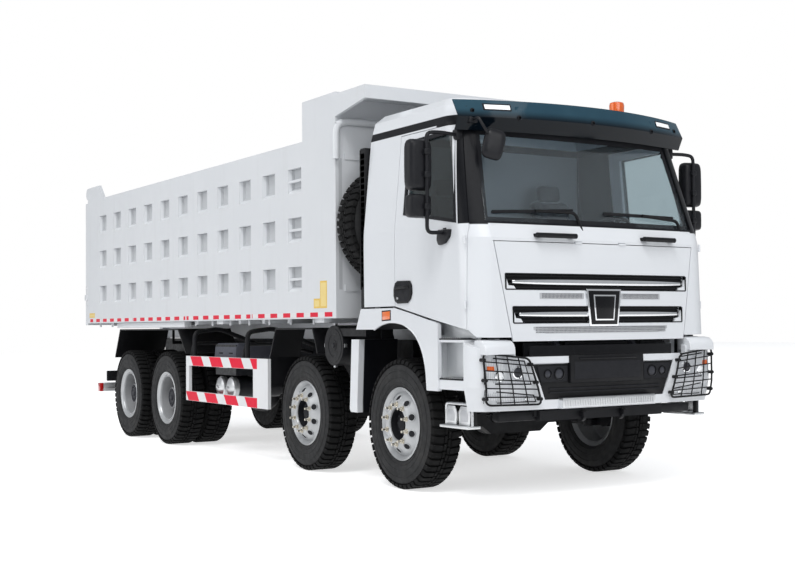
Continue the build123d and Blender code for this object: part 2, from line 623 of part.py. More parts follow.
# Bed sides: a plate with three rows of pockets outside, raised at the front, with an ear for the gate.
ear_outer = bed_half_width - 20
ear_inner = ear_outer - 35
with BuildPart() as bed_sides:
    for side in (-1, 1):
        inner_x = side * bed_inside
        outer_x = side * bed_half_width
        outline = [(bed_front, bed_bottom), (bed_rear, bed_bottom), (bed_rear, bed_top), (axle_1 + 1620, bed_top),
                   (axle_1 + 1620, bed_head_top), (bed_front, bed_head_top)]
        side_plate(outline, inner_x, outer_x)
        for column in range(11):
            y = axle_1 + 1645 + 587 * column
            for row in range(3):
                z = 1720 + 473.5 * row
                block(side * (bed_half_width - pocket_depth), outer_x, y, y + 290, z, z + 235, Mode.SUBTRACT)
        for row in range(3):
            z = 1720 + 473.5 * row + 105
            block(side * (bed_half_width - pocket_depth - 5), side * (bed_half_width - 8), axle_1 + 1640,
                  axle_1 + 1940, z, z + 24)
        ear = [(axle_1 + 7700, bed_top), (axle_1 + 7900, 3330), (gate_hinge[0], 3330), (gate_hinge[0], bed_top)]
        side_plate(ear, side * ear_inner, side * ear_outer)
        bar((side * ear_inner, *gate_hinge), (side * ear_outer, *gate_hinge), 80)
        bar((side * (ear_inner - 65), *gate_hinge), (side * ear_outer, *gate_hinge), 24)
save(bed_sides.part, "bed_sides")

# Headboard with the canopy over the cab's back, the hoist's bracket and the recess the hoist leans into.
with BuildPart() as headboard:
    block(-bed_inside, bed_inside, bed_front, bed_front + 80, bed_bottom, bed_head_top)
    block(-bed_half_width, bed_half_width, axle_1 + 390, bed_front, 3455, 3493)
    block(-bed_half_width, bed_half_width, axle_1 + 390, axle_1 + 420, 3376, 3493)
    for side in (-1, 1):
        side_plate([(axle_1 + 390, 3493), (axle_1 + 390, 3376), (bed_front, 3287), (bed_front, 3493)],
                   side * (bed_half_width - 30), side * bed_half_width)
        side_plate([(bed_front + 5, 3000), (axle_1 + 740, 3025), (axle_1 + 740, 3150), (bed_front + 5, 3200)],
                   side * 62, side * 88)
    for z in (1700, 2100, 2500, 2900):
        block(-bed_inside, bed_inside, bed_front - 8, bed_front + 5, z, z + 60)
    block(-doghouse_half, doghouse_half, bed_front - 20, bed_front + 90, bed_bottom - 1, doghouse_top,
          Mode.SUBTRACT)
    slope = [(bed_front + 60, doghouse_top + 5), (bed_front + 79, doghouse_top + 12),
             (doghouse_foot + 14, bed_bottom + 13), (doghouse_foot, bed_bottom + 13)]
    side_plate(slope, -doghouse_half - 6, doghouse_half + 6)
    for side in (-1, 1):
        cheek = [(bed_front + 40, doghouse_top + 5), (bed_front + 70, doghouse_top + 10),
                 (doghouse_foot + 10, bed_bottom + 13), (bed_front + 40, bed_bottom + 13)]
        side_plate(cheek, side * doghouse_half, side * (doghouse_half + 12))
save(headboard.part, "headboard")

# Tailgate hung from two arms.
with BuildPart() as tailgate:
    block(-gate_half_width, gate_half_width, bed_rear + 8, bed_rear + 70, 1430, 3120)
    for z in (1430, 1980, 2520, 3040):
        block(-gate_half_width, gate_half_width, bed_rear + 60, bed_rear + 120, z, z + 80)
    for x in (-gate_half_width, -640, -40, 560, gate_half_width - 80):
        block(x, x + 80, bed_rear + 60, bed_rear + 120, 1430, 3120)
    for side in (-1, 1):
        arm_inner, arm_outer = ear_inner - 55, ear_inner - 10
        block(side * arm_inner, side * arm_outer, bed_rear + 20, bed_rear + 110, 3050, gate_hinge[1])
        bar((side * arm_inner, *gate_hinge), (side * arm_outer, *gate_hinge), 50)
        bar((side * (arm_inner - 20), *gate_hinge), (side * (arm_outer + 5), *gate_hinge), 24.1, Mode.SUBTRACT)
        block(side * (arm_inner - 80), side * (arm_inner - 10), bed_rear + 100, axle_1 + rear_reach, 1500, 1600)
save(tailgate.part, "tailgate")

# Hoist: a barrel on its foot pin and three stages, drawn along the line to the eye.
foot = Vector(0, *hoist_foot)
eye = Vector(0, *hoist_eye)
line = (eye - foot).normalized()
closed_length = (eye - foot).length


def along(distance):
    """The point on the hoist's line at a distance from the foot pin."""
    return tuple(foot + line * distance)


with BuildPart() as hoist_barrel:
    bar(along(20), along(100), 48)
    bar(along(95), along(1930), 105)
    bar(along(110), along(1940), 92, Mode.SUBTRACT)
    bar((-50, *hoist_foot), (50, *hoist_foot), 62)
    bar((-60, *hoist_foot), (60, *hoist_foot), 40.1, Mode.SUBTRACT)
save(hoist_barrel.part, "hoist_barrel")

for stage, radius, low, high in ((1, 90, 115, 1955), (2, 76, 120, 1980)):
    with BuildPart() as tube:
        bar(along(low), along(high), radius)
        bar(along(low - 5), along(high + 5), radius - 12, Mode.SUBTRACT)
    save(tube.part, f"hoist_stage_{stage}")

with BuildPart() as hoist_stage_3:
    bar(along(125), along(closed_length - 30), 62)
    bar((-50, *hoist_eye), (50, *hoist_eye), 52)
save(hoist_stage_3.part, "hoist_stage_3")
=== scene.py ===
import functools
import math

import bmesh
import bpy
from mathutils import Matrix, Vector
from mathutils.bvhtree import BVHTree


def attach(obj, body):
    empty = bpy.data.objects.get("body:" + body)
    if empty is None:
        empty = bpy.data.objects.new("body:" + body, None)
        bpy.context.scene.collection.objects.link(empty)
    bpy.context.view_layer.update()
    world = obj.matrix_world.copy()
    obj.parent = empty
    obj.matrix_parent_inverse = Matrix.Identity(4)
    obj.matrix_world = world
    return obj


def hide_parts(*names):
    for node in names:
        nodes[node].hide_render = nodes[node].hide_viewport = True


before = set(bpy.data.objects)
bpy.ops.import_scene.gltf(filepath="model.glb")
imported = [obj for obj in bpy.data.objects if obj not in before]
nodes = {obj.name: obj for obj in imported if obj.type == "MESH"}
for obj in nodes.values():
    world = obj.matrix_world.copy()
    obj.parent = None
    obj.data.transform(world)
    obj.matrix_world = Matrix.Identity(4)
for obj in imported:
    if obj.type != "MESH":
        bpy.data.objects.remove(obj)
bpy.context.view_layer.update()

# Places along the truck, in metres from the first axle, which stands at AXLE_1 in the frame.
AXLE_1 = -3.57
STEER_AXLES = ((1, 0.0), (2, 1.8))
DRIVE_AXLES = ((3, 5.35), (4, 6.7))
SIDES = ((-1, "right"), (1, "left"))
WHEEL_RADIUS = 0.55
STEER_X = 1.03
TWIN_X = 1.11
TWIN_GAP = 0.34

# Patterns: ribs and threads are turns of a wave, in radians for each metre.
LENS_RIBS = 420.0
CLOTH_THREADS = 1400.0
BAR_PITCH = 0.55
BAR_SLANT = 0.8
TAPE_PITCH = 0.295

# Meshes: edges sharper than this stay sharp, spins have one seed, and rays start this far away.
SHARP_ANGLE = math.radians(34)
SPIN_SEED = 7
RAY_START = 3.0


class Finish:
    """A node material, built up from Object coordinates."""

    def __init__(self, name, **uniform):
        self.material = bpy.data.materials.new(name)
        self.material.use_nodes = True
        self.tree = self.material.node_tree
        self.shader = self.tree.nodes["Principled BSDF"]
        self.place = self.node("ShaderNodeTexCoord").outputs["Object"]
        for socket, value in uniform.items():
            self.shader.inputs[socket.replace("_", " ")].default_value = value

    def node(self, kind, **settings):
        made = self.tree.nodes.new(kind)
        for key, value in settings.items():
            setattr(made, key, value)
        return made

    def feed(self, value, socket):
        if isinstance(value, bpy.types.NodeSocket):
            self.tree.links.new(value, socket)
        else:
            socket.default_value = value

    def noise(self, scale, detail=3.0, stretch=(1, 1, 1)):
        mapping = self.node("ShaderNodeMapping")
        mapping.inputs["Scale"].default_value = stretch
        self.feed(self.place, mapping.inputs["Vector"])
        grain = self.node("ShaderNodeTexNoise")
        grain.inputs["Scale"].default_value = scale
        grain.inputs["Detail"].default_value = detail
        self.feed(mapping.outputs["Vector"], grain.inputs["Vector"])
        return grain.outputs[0]

    def axis(self, letter):
        split = self.node("ShaderNodeSeparateXYZ")
        self.feed(self.place, split.inputs[0])
        return split.outputs[letter]

    def along(self):
        """Metres behind the first axle."""
        return self.math("SUBTRACT", self.axis("Y"), AXLE_1)

    def out(self):
        """Metres from the middle of the truck."""
        return self.math("ABSOLUTE", self.axis("X"))

    def facing_up(self):
        split = self.node("ShaderNodeSeparateXYZ")
        self.feed(self.node("ShaderNodeNewGeometry").outputs["Normal"], split.inputs[0])
        return split.outputs["Z"]

    def math(self, operation, first, second=0.0):
        sums = self.node("ShaderNodeMath", operation=operation)
        self.feed(first, sums.inputs[0])
        self.feed(second, sums.inputs[1])
        return sums.outputs[0]

    def step(self, value, low, high, start=0.0, end=1.0):
        ramp = self.node("ShaderNodeMapRange", interpolation_type="SMOOTHSTEP")
        for socket, number in zip(ramp.inputs, (value, low, high, start, end)):
            self.feed(number, socket)
        return ramp.outputs[0]

    def fall(self, value, low, high):
        return self.step(value, low, high, 1.0, 0.0)

    def both(self, *values):
        return functools.reduce(lambda first, second: self.math("MULTIPLY", first, second), values)

    def either(self, *values):
        return functools.reduce(lambda first, second: self.math("MAXIMUM", first, second), values)

    def band(self, value, low, high, soft=0.003):
        return self.both(self.step(value, low - soft, low + soft), self.fall(value, high - soft, high + soft))

    def mix(self, factor, first, second):
        blend = self.node("ShaderNodeMix", data_type="RGBA")
        self.feed(factor, blend.inputs[0])
        for value, socket in ((first, 6), (second, 7)):
            self.feed((*value, 1) if isinstance(value, tuple) else value, blend.inputs[socket])
        return blend.outputs[2]

    def colour(self, value):
        self.feed(value, self.shader.inputs["Base Color"])

    def rough(self, grain, low, high):
        self.feed(self.step(grain, 0.3, 0.7, low, high), self.shader.inputs["Roughness"])

    def bump(self, height, distance, strength=0.5):
        relief = self.node("ShaderNodeBump")
        relief.inputs["Distance"].default_value = distance
        relief.inputs["Strength"].default_value = strength
        self.feed(height, relief.inputs["Height"])
        self.feed(relief.outputs[0], self.shader.inputs["Normal"])


def gloss_paint(name, first, second, dust=0.12, coat=0.5):
    """Sprayed gloss paint with a faint mottle, orange peel and dust low down."""
    paint = Finish(name, Coat_Weight=coat, Coat_Roughness=0.06)
    tone = paint.mix(paint.noise(1.4), first, second)
    low = paint.step(paint.axis("Z"), 0.45, 1.5, dust, 0.0)
    grime = paint.both(low, paint.step(paint.noise(6.0, 5), 0.35, 0.7))
    paint.tone = paint.mix(grime, tone, (0.42, 0.40, 0.37))
    paint.colour(paint.tone)
    paint.rough(paint.noise(2.5), 0.30, 0.36)
    paint.bump(paint.noise(180.0, 1), 0.0002, 0.05)
    return paint


def masked_paint(name, first, second, mask):
    """Gloss paint that turns to black trim inside a mask of the Object coordinates."""
    paint = gloss_paint(name, first, second)
    black = paint.mix(paint.noise(30.0), (0.005, 0.0055, 0.007), (0.009, 0.0095, 0.012))
    inside = mask(paint)
    paint.colour(paint.mix(inside, paint.tone, black))
    paint.feed(paint.step(inside, 0.0, 1.0, 0.5, 0.02), paint.shader.inputs["Coat Weight"])
    paint.feed(paint.step(inside, 0.0, 1.0, 0.5, 0.12), paint.shader.inputs["Specular IOR Level"])
    return paint.material


def plain_black(name, low, high, rough_low, rough_high, dust=0.0, grain=420.0):
    """Black trim, moulded or painted, with grain and some dust on what faces up."""
    black = Finish(name, Specular_IOR_Level=0.2)
    tone = black.mix(black.noise(11.0, 4), (low, low * 1.05, low * 1.3), (high, high * 1.04, high * 1.25))
    if dust:
        lying = black.both(black.step(black.facing_up(), 0.2, 0.9, 0.0, dust),
                           black.step(black.noise(5.0, 5), 0.3, 0.7))
        tone = black.mix(lying, tone, (0.20, 0.18, 0.155))
    black.colour(tone)
    black.rough(black.noise(22.0), rough_low, rough_high)
    black.bump(black.noise(grain, 2), 0.0006, 0.25)
    return black.material


def metal(name, first, second, rough_low, rough_high, metallic=1.0, stretch=(1, 1, 1), scale=60.0):
    """Bare or plated metal, brushed where the noise is stretched."""
    bare = Finish(name, Metallic=metallic)
    bare.colour(bare.mix(bare.noise(scale, 3, stretch), first, second))
    bare.rough(bare.noise(scale * 0.7, 3, stretch), rough_low, rough_high)
    bare.bump(bare.noise(scale * 4, 2, stretch), 0.0002, 0.15)
    return bare.material


def tinted_glass(name, first, second, clear, bend=1.45, rough=0.02):
    """Glass with a tint that wanders a little and a film of dust in its roughness."""
    pane = Finish(name, Transmission_Weight=clear, IOR=bend)
    pane.colour(pane.mix(pane.noise(2.0), first, second))
    pane.rough(pane.noise(14.0, 5), rough, rough + 0.04)
    return pane.material


def lens(name, first, second, glow=0.0):
    """A moulded lamp lens with a fine ribbing."""
    cover = Finish(name, Coat_Weight=0.8, Coat_Roughness=0.03)
    waves = cover.math("SINE", cover.both(cover.axis("X"), LENS_RIBS))
    tone = cover.mix(cover.step(waves, -1.0, 1.0), first, second)
    cover.colour(tone)
    if glow:
        cover.feed(tone, cover.shader.inputs["Emission Color"])
        cover.shader.inputs["Emission Strength"].default_value = glow
    cover.rough(cover.noise(40.0), 0.08, 0.2)
    cover.bump(waves, 0.001, 0.3)
    return cover.material


WHITE = ((0.70, 0.72, 0.75), (0.76, 0.78, 0.805))
SILL = 2.17
ROOF_BAND = 2.998
SCREEN_SLOPE = 0.2153
SIDE_LEAN = 0.0925


def pillar_mask(f):
    """Black front pillars and roof band, and a dark grey cabin side."""
    pillar = f.both(f.step(f.axis("Z"), SILL - 0.012, SILL - 0.004), f.fall(f.along(), -0.62, -0.60))
    band = f.step(f.axis("Z"), ROOF_BAND - 0.002, ROOF_BAND + 0.002)
    lean = f.both(f.math("MAXIMUM", f.math("SUBTRACT", f.axis("Z"), 2.2), 0.0), SIDE_LEAN)
    inside = f.both(f.fall(f.math("ADD", f.out(), lean), 1.188, 1.194), f.band(f.along(), -1.0, 0.424))
    return f.either(pillar, band, f.both(inside, 0.93))


def door_mask(f):
    """Black front post of the door, along the slope of the windscreen."""
    post = f.math("SUBTRACT", f.along(), f.both(f.axis("Z"), SCREEN_SLOPE))
    return f.both(f.step(f.axis("Z"), SILL - 0.002, SILL + 0.004), f.fall(post, -1.496, -1.492))


def arch_mask(f):
    """Black liner inside the arch and behind it."""
    return f.either(f.both(f.fall(f.out(), 1.240, 1.244), f.band(f.along(), -0.60, 0.61)),
                    f.both(f.fall(f.out(), 1.155, 1.165), f.band(f.along(), 0.60, 0.82)))


def back_mask(f):
    """Black roof band and a grey cabin side."""
    return f.either(f.step(f.axis("Z"), ROOF_BAND - 0.002, ROOF_BAND + 0.002),
                    f.both(f.fall(f.along(), 0.424, 0.43), 0.45))


paint_white = gloss_paint("cab paint", *WHITE).material
# Painted light: a paler copy of the cab paint without dust for the step wells, brightened to stand in for
# light in the shaded wells.
niche_white_painted_light = gloss_paint("step well paint, brightened as painted light", (0.85, 0.87, 0.89), (0.89, 0.91, 0.925), dust=0.0).material
paint_pillars = masked_paint("cab paint with black pillars", *WHITE, pillar_mask)
paint_door = masked_paint("door paint with black front post", *WHITE, door_mask)
paint_roof = masked_paint("roof paint with black band", *WHITE, lambda f: f.fall(f.axis("Z"), 3.062, 3.066))
paint_front = masked_paint("cowl paint with black header", *WHITE,
                           lambda f: f.step(f.axis("Z"), SILL, SILL + 0.004))
paint_arches = masked_paint("arch paint with black liner", *WHITE, arch_mask)
paint_back = masked_paint("cab back paint", *WHITE, back_mask)


def bed_paint_finish():
    """Bed paint: a duller white with run marks, a painted shade on each side pocket's floor, and scuffs on
    the inner faces.
    """
    paint = Finish("bed paint", Coat_Weight=0.25, Coat_Roughness=0.15)
    tone = paint.mix(paint.noise(0.9, 4), (0.655, 0.675, 0.70), (0.715, 0.73, 0.75))
    runs = paint.step(paint.noise(7.0, 5, (1, 1, 0.12)), 0.52, 0.75, 0.0, 0.16)
    tone = paint.mix(runs, tone, (0.56, 0.565, 0.57))
    # Painted shade: each pocket's floor is mixed towards a darker grey, standing in for the shade inside the
    # recess.
    pocket_shade = paint.both(paint.band(paint.out(), 1.204, 1.238), paint.band(paint.axis("Z"), 1.715, 2.910))
    grey = paint.mix(paint.noise(3.0, 4), (0.42, 0.435, 0.455), (0.49, 0.505, 0.52))
    tone = paint.mix(paint.both(pocket_shade, 0.8), tone, grey)
    inside = paint.both(paint.fall(paint.out(), 1.176, 1.184), paint.band(paint.along(), 1.022, 8.34),
                        paint.step(paint.axis("Z"), 1.455, 1.475))
    scuffs = paint.both(inside, paint.step(paint.noise(16.0, 6, (1, 0.25, 1)), 0.5, 0.62, 0.0, 0.6))
    paint.colour(paint.mix(scuffs, tone, (0.33, 0.31, 0.29)))
    paint.rough(paint.noise(6.0), 0.34, 0.5)
    paint.bump(paint.noise(90.0, 3), 0.0008, 0.18)
    return paint.material


def guard_paint_finish():
    """White guard paint with slanting red bars along both rails."""
    paint = gloss_paint("guard paint with red bars", (0.72, 0.735, 0.755), (0.78, 0.79, 0.80), coat=0.0)
    slant = paint.math("SUBTRACT", paint.along(), paint.both(paint.axis("Z"), BAR_SLANT))
    rails = []
    for low, high, phase in ((0.952, 1.058, 0.10), (0.557, 0.658, 0.93)):
        turn = paint.math("FRACT", paint.math("SUBTRACT", paint.math("DIVIDE", slant, BAR_PITCH), phase))
        rails.append(paint.both(paint.band(turn, 0.01, 0.60, 0.008), paint.band(paint.axis("Z"), low, high)))
    bars = paint.both(paint.either(*rails), paint.band(paint.along(), 2.70, 4.656),
                      paint.step(paint.out(), 1.22, 1.224))
    red = paint.mix(paint.noise(25.0), (0.72, 0.004, 0.030), (0.80, 0.008, 0.045))
    paint.colour(paint.mix(bars, paint.tone, red))
    paint.feed(paint.step(bars, 0.0, 1.0, 0.5, 0.06), paint.shader.inputs["Specular IOR Level"])
    return paint.material


def marking_tape_finish():
    """Reflecting tape, red and white in turn, with a fine honeycomb."""
    tape = Finish("marking tape", Specular_IOR_Level=0.12)
    run = tape.math("ADD", tape.axis("Y"), tape.axis("X"))
    turn = tape.math("FRACT", tape.math("DIVIDE", run, TAPE_PITCH))
    red = tape.mix(tape.noise(30.0), (0.66, 0.010, 0.035), (0.74, 0.022, 0.055))
    white = tape.mix(tape.noise(30.0), (0.70, 0.70, 0.71), (0.78, 0.77, 0.77))
    tape.colour(tape.mix(tape.band(turn, 0.02, 0.56, 0.006), white, red))
    cells = tape.node("ShaderNodeTexVoronoi")
    cells.inputs["Scale"].default_value = 220.0
    tape.feed(tape.place, cells.inputs["Vector"])
    tape.bump(cells.outputs["Distance"], 0.0004, 0.3)
    tape.rough(tape.noise(20.0), 0.3, 0.45)
    return tape.material


def rubber_finish(name, depth, dust, shine):
    """Tyre rubber: dull black with some dust and a fine moulded skin."""
    skin = Finish(name, Specular_IOR_Level=shine)
    first, second = [tuple(depth * part for part in tone) for tone in ((0.55, 0.57, 0.62), (1.0, 1.0, 1.02))]
    dusty = skin.step(skin.noise(3.0, 6), 0.52, 0.75, 0.0, dust)
    skin.colour(skin.mix(dusty, skin.mix(skin.noise(5.0, 5), first, second), (0.050, 0.047, 0.044)))
    skin.rough(skin.noise(18.0), 0.68, 0.86)
    skin.bump(skin.noise(170.0, 4), 0.0012, 0.3)
    return skin.material


def visor_finish():
    """Tinted visor plastic: blue-green above, near black along its lower lip."""
    tint = Finish("visor tint", Transmission_Weight=0.1, Specular_IOR_Level=0.1, Coat_Weight=0.05,
                  Coat_Roughness=0.04)
    upper = tint.mix(tint.noise(1.6), (0.014, 0.046, 0.074), (0.042, 0.098, 0.132))
    tint.colour(tint.mix(tint.step(tint.axis("Z"), 3.015, 3.10), (0.003, 0.006, 0.010), upper))
    tint.rough(tint.noise(12.0), 0.06, 0.14)
    return tint.material


def fabric_finish():
    """Woven seat cloth: a fine warp and weft over a slow mottle."""
    cloth = Finish("seat cloth", Sheen_Weight=0.3)
    warp, weft = [cloth.math("SINE", cloth.both(cloth.axis(letter), CLOTH_THREADS)) for letter in "XZ"]
    weave = cloth.both(warp, weft)
    tone = cloth.mix(cloth.noise(8.0), (0.05, 0.05, 0.055), (0.085, 0.085, 0.092))
    cloth.colour(cloth.mix(cloth.step(weave, -1.0, 1.0, 0.0, 0.5), tone, (0.13, 0.13, 0.14)))
    cloth.rough(cloth.noise(30.0), 0.8, 0.95)
    cloth.bump(weave, 0.0006, 0.4)
    return cloth.material


def battery_finish():
    """Black box above, air tanks hung below it with bright steel towards their ends."""
    rack = Finish("battery box and air tanks", Specular_IOR_Level=0.25)
    tank = rack.both(rack.fall(rack.axis("Z"), 0.842, 0.846), rack.fall(rack.axis("X"), -1.075, -1.06))
    black = rack.mix(rack.noise(12.0), (0.008, 0.009, 0.011), (0.014, 0.015, 0.018))
    bright = rack.mix(rack.noise(70.0, 3, (0.1, 1, 1)), (0.50, 0.51, 0.52), (0.62, 0.63, 0.64))
    rack.colour(rack.mix(tank, black, bright))
    rack.feed(rack.both(tank, 0.9), rack.shader.inputs["Metallic"])
    rack.rough(rack.noise(25.0), 0.32, 0.5)
    rack.bump(rack.noise(300.0, 2), 0.0005, 0.2)
    return rack.material


def label_finish(name, first, second):
    """A blank sticker, slightly faded in patches."""
    sticker = Finish(name, Coat_Weight=0.3, Coat_Roughness=0.2)
    sticker.colour(sticker.mix(sticker.noise(14.0, 4), first, second))
    sticker.rough(sticker.noise(40.0), 0.35, 0.5)
    return sticker.material


bed_paint = bed_paint_finish()
guard_paint = guard_paint_finish()
marking_tape = marking_tape_finish()
rubber = rubber_finish("tyre rubber", 0.026, 0.35, 0.3)
# Painted shade: the tread copy of the rubber is darker, standing in for the shade on the tyre's crown and
# lugs.
tread_rubber_shaded = rubber_finish("tread rubber, darkened as painted shade", 0.008, 0.10, 0.15)
visor_tint = visor_finish()
seat_cloth = fabric_finish()
battery_mix = battery_finish()
yellow_label = label_finish("blank yellow label", (0.74, 0.47, 0.05), (0.82, 0.56, 0.10))
pale_label = label_finish("blank pale label", (0.80, 0.60, 0.18), (0.86, 0.68, 0.28))
chassis_black = plain_black("chassis black", 0.005, 0.010, 0.42, 0.58, dust=0.14, grain=120.0)
moulded_black = plain_black("moulded black plastic", 0.004, 0.008, 0.42, 0.56, dust=0.04)
gloss_black = plain_black("gloss black", 0.004, 0.007, 0.10, 0.20, grain=60.0)
mirror_black = plain_black("mirror shell black", 0.008, 0.014, 0.32, 0.44)
seal_black = plain_black("rubber seal", 0.010, 0.016, 0.6, 0.75)
cabin_grey = plain_black("cabin trim", 0.055, 0.085, 0.55, 0.7)
hub_black = plain_black("hub casting", 0.018, 0.04, 0.5, 0.7, dust=0.2, grain=70.0)
# Painted shade: a darker copy of the wheel metal for the sunk dish and barrel of the rear wheels, standing in
# for the shade in the recess.
dish_grey_shaded = metal("wheel dish, darkened as painted shade", (0.30, 0.305, 0.315), (0.38, 0.385, 0.395), 0.5, 0.65, 0.2, scale=14.0)
wheel_silver = metal("wheel silver", (0.42, 0.43, 0.44), (0.51, 0.52, 0.53), 0.32, 0.46, 0.5, scale=14.0)
nut_brass = metal("plated nuts", (0.56, 0.52, 0.44), (0.70, 0.67, 0.60), 0.24, 0.36)
lid_grey = plain_black("box lid", 0.075, 0.11, 0.5, 0.65)
bright_steel = metal("bright steel", (0.50, 0.51, 0.53), (0.64, 0.65, 0.66), 0.26, 0.38)
step_aluminium = metal("step aluminium", (0.55, 0.56, 0.57), (0.68, 0.69, 0.70), 0.30, 0.44,
                       stretch=(0.15, 1, 1))
tank_aluminium = metal("tank aluminium", (0.60, 0.61, 0.62), (0.70, 0.71, 0.72), 0.28, 0.40,
                       stretch=(1, 0.08, 1))
chrome = metal("chrome", (0.70, 0.71, 0.73), (0.80, 0.81, 0.82), 0.05, 0.12, scale=20.0)
mirror_face = metal("mirror face", (0.74, 0.76, 0.78), (0.80, 0.82, 0.84), 0.01, 0.03, scale=4.0)
hoist_paint = metal("hoist grey", (0.20, 0.205, 0.21), (0.27, 0.275, 0.28), 0.35, 0.5, 0.2)
perforated_grey = metal("perforated strip", (0.42, 0.43, 0.45), (0.50, 0.51, 0.53), 0.3, 0.45, 0.4)
screen_glass = tinted_glass("windscreen glass", (0.76, 0.87, 0.94), (0.82, 0.92, 0.98), 0.98, 1.34)
# Painted light and shade: both door panes are the same glass. The near one is tinted dark to stand in for the
# shaded cab behind it, and the far one is tinted paler to stand in for the bright surround seen through it.
near_glass_shaded = tinted_glass("door glass", (0.09, 0.12, 0.125), (0.13, 0.16, 0.165), 0.94)
far_glass_lit = tinted_glass("far door glass", (0.34, 0.40, 0.41), (0.42, 0.48, 0.48), 0.94)
lamp_clear = lens("clear lens", (0.55, 0.57, 0.60), (0.80, 0.82, 0.84))
lamp_led = lens("lamp strip", (0.86, 0.88, 0.90), (0.95, 0.96, 0.97), glow=0.25)
lamp_silver = lens("lamp reflector", (0.50, 0.52, 0.55), (0.72, 0.74, 0.77))
lamp_dark = plain_black("lamp bowl", 0.03, 0.06, 0.16, 0.28, grain=40.0)
lamp_orange = lens("orange lens", (0.66, 0.085, 0.004), (0.80, 0.15, 0.008), glow=0.05)
lamp_red = lens("red lens", (0.42, 0.01, 0.01), (0.55, 0.02, 0.02), glow=0.05)


class Shape:
    """Closed solids gathered in one mesh, each with its own finish.

    Places are metres from the first axle. A side of -1 turns them over to the truck's right.
    """

    def __init__(self, side=1):
        self.mesh = bmesh.new()
        self.finishes = []
        self.side = side

    def add(self, points, faces, finish, bevel=0.0):
        """One closed solid, with its sharp edges rounded off by a bevel."""
        if finish not in self.finishes:
            self.finishes.append(finish)
        index = self.finishes.index(finish)
        corners = [self.mesh.verts.new((self.side * x, y, z)) for x, y, z in points]
        built = []
        for face in faces:
            made = self.mesh.faces.new([corners[i] for i in face])
            made.material_index = index
            made.smooth = True
            built.append(made)
        bmesh.ops.recalc_face_normals(self.mesh, faces=built)
        if bevel:
            edges = dict.fromkeys(edge for face in built for edge in face.edges)
            sharp = [edge for edge in edges if edge.calc_face_angle(0.0) > 0.6]
            bmesh.ops.bevel(self.mesh, geom=sharp, offset=bevel, segments=2, profile=0.5, affect="EDGES",
                            clamp_overlap=True, material=-1)
        return self

    def loft(self, rings, finish, bevel=0.0):
        """A skin over rings of as many points each, closed at both ends."""
        count = len(rings[0])
        points = [point for ring in rings for point in ring]
        faces = [tuple(range(count)), tuple(range(len(points) - 1, len(points) - count - 1, -1))]
        for first in range(0, len(points) - count, count):
            for i in range(count):
                j = (i + 1) % count
                faces.append((first + i, first + j, first + count + j, first + count + i))
        return self.add(points, faces, finish, bevel)

    def prism(self, outline, axis, low, high, finish, bevel=0.0):
        """An outline drawn in the two other directions, carried along an axis."""
        place = "xyz".index(axis)
        ends = [[(*point[:place], level, *point[place:]) for point in outline] for level in (low, high)]
        return self.loft(ends, finish, bevel)

    def block(self, x, y, z, finish, bevel=0.0):
        """A box from its low and high ends along x, y and z."""
        return self.prism([(x[0], y[0]), (x[1], y[0]), (x[1], y[1]), (x[0], y[1])], "z", *z, finish, bevel)

    def tube(self, path, radius, finish, bend=0.0, sides=10):
        """A round bar along a path, which starts to turn this far from each corner."""
        path = [Vector(point) for point in path]
        line = [path[0]]
        for before, here, after in zip(path, path[1:], path[2:]):
            start = here + (before - here).normalized() * bend
            end = here + (after - here).normalized() * bend
            steps = (0.0, 0.25, 0.5, 0.75, 1.0) if bend else (0.0,)
            line += [start.lerp(here, t).lerp(here.lerp(end, t), t) for t in steps]
        line.append(path[-1])
        turns = [2 * math.pi * k / sides for k in range(sides)]
        rings = []
        across = (line[1] - line[0]).orthogonal()
        for i, point in enumerate(line):
            along = (line[min(i + 1, len(line) - 1)] - line[max(i - 1, 0)]).normalized()
            across = (across - along * across.dot(along)).normalized()
            other = along.cross(across)
            rings.append([point + (across * math.cos(a) + other * math.sin(a)) * radius for a in turns])
        return self.loft(rings, finish)

    def lathe(self, profile, finish, place=Matrix.Identity(4), steps=48):
        """A profile of (radius, height) turned round z. It closes on the axis or on itself."""
        points, rings, faces = [], [], []
        for radius, height in profile:
            count = steps if radius else 1
            rings.append(range(len(points), len(points) + count))
            for k in range(count):
                turn = 2 * math.pi * k / steps
                points.append(place @ Vector((radius * math.cos(turn), radius * math.sin(turn), height)))
        closing = [(rings[-1], rings[0])] if len(rings[0]) > 1 else []
        for low, high in list(zip(rings, rings[1:])) + closing:
            for i in range(steps):
                j = (i + 1) % steps
                corners = (low[i % len(low)], low[j % len(low)], high[j % len(high)], high[i % len(high)])
                faces.append(tuple(dict.fromkeys(corners)))
        return self.add(points, faces, finish)

    def strip(self, stations, skin, out, depth, finish, bevel=0.0):
        """A slab that follows a front skin, from stations (x, low z, high z)."""
        rings = []
        for x, low, high in stations:
            rings.append([(x, skin(x, low) - out, low), (x, skin(x, high) - out, high),
                          (x, skin(x, high) + depth, high), (x, skin(x, low) + depth, low)])
        return self.loft(rings, finish, bevel)

    def take(self, mesh, finish, place=Matrix.Identity(4), bend=None):
        """A copy of a mesh, put in place and bent by a function of its points."""
        points = [place @ corner.co for corner in mesh.vertices]
        return self.add([bend(point) for point in points] if bend else points,
                        [tuple(face.vertices) for face in mesh.polygons], finish)

    def to_object(self, name):
        """An object of the scene with the gathered mesh, which is used up."""
        mesh = bpy.data.meshes.new(name)
        self.mesh.to_mesh(mesh)
        self.mesh.free()
        for finish in self.finishes:
            mesh.materials.append(finish)
        made = bpy.data.objects.new(name, mesh)
        bpy.context.scene.collection.objects.link(made)
        return made


def piece(name, shape, body, slot, *stands_for):
    """Puts a gathered shape in the scene, ties it to its body and hides the nodes it stands for. The slot is
    not used.
    """
    made = shape.to_object(name)
    made.data.transform(Matrix.Translation((0, AXLE_1, 0)))
    made.data.set_sharp_from_angle(angle=SHARP_ANGLE)
    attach(made, body)
    if stands_for:
        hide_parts(*stands_for)


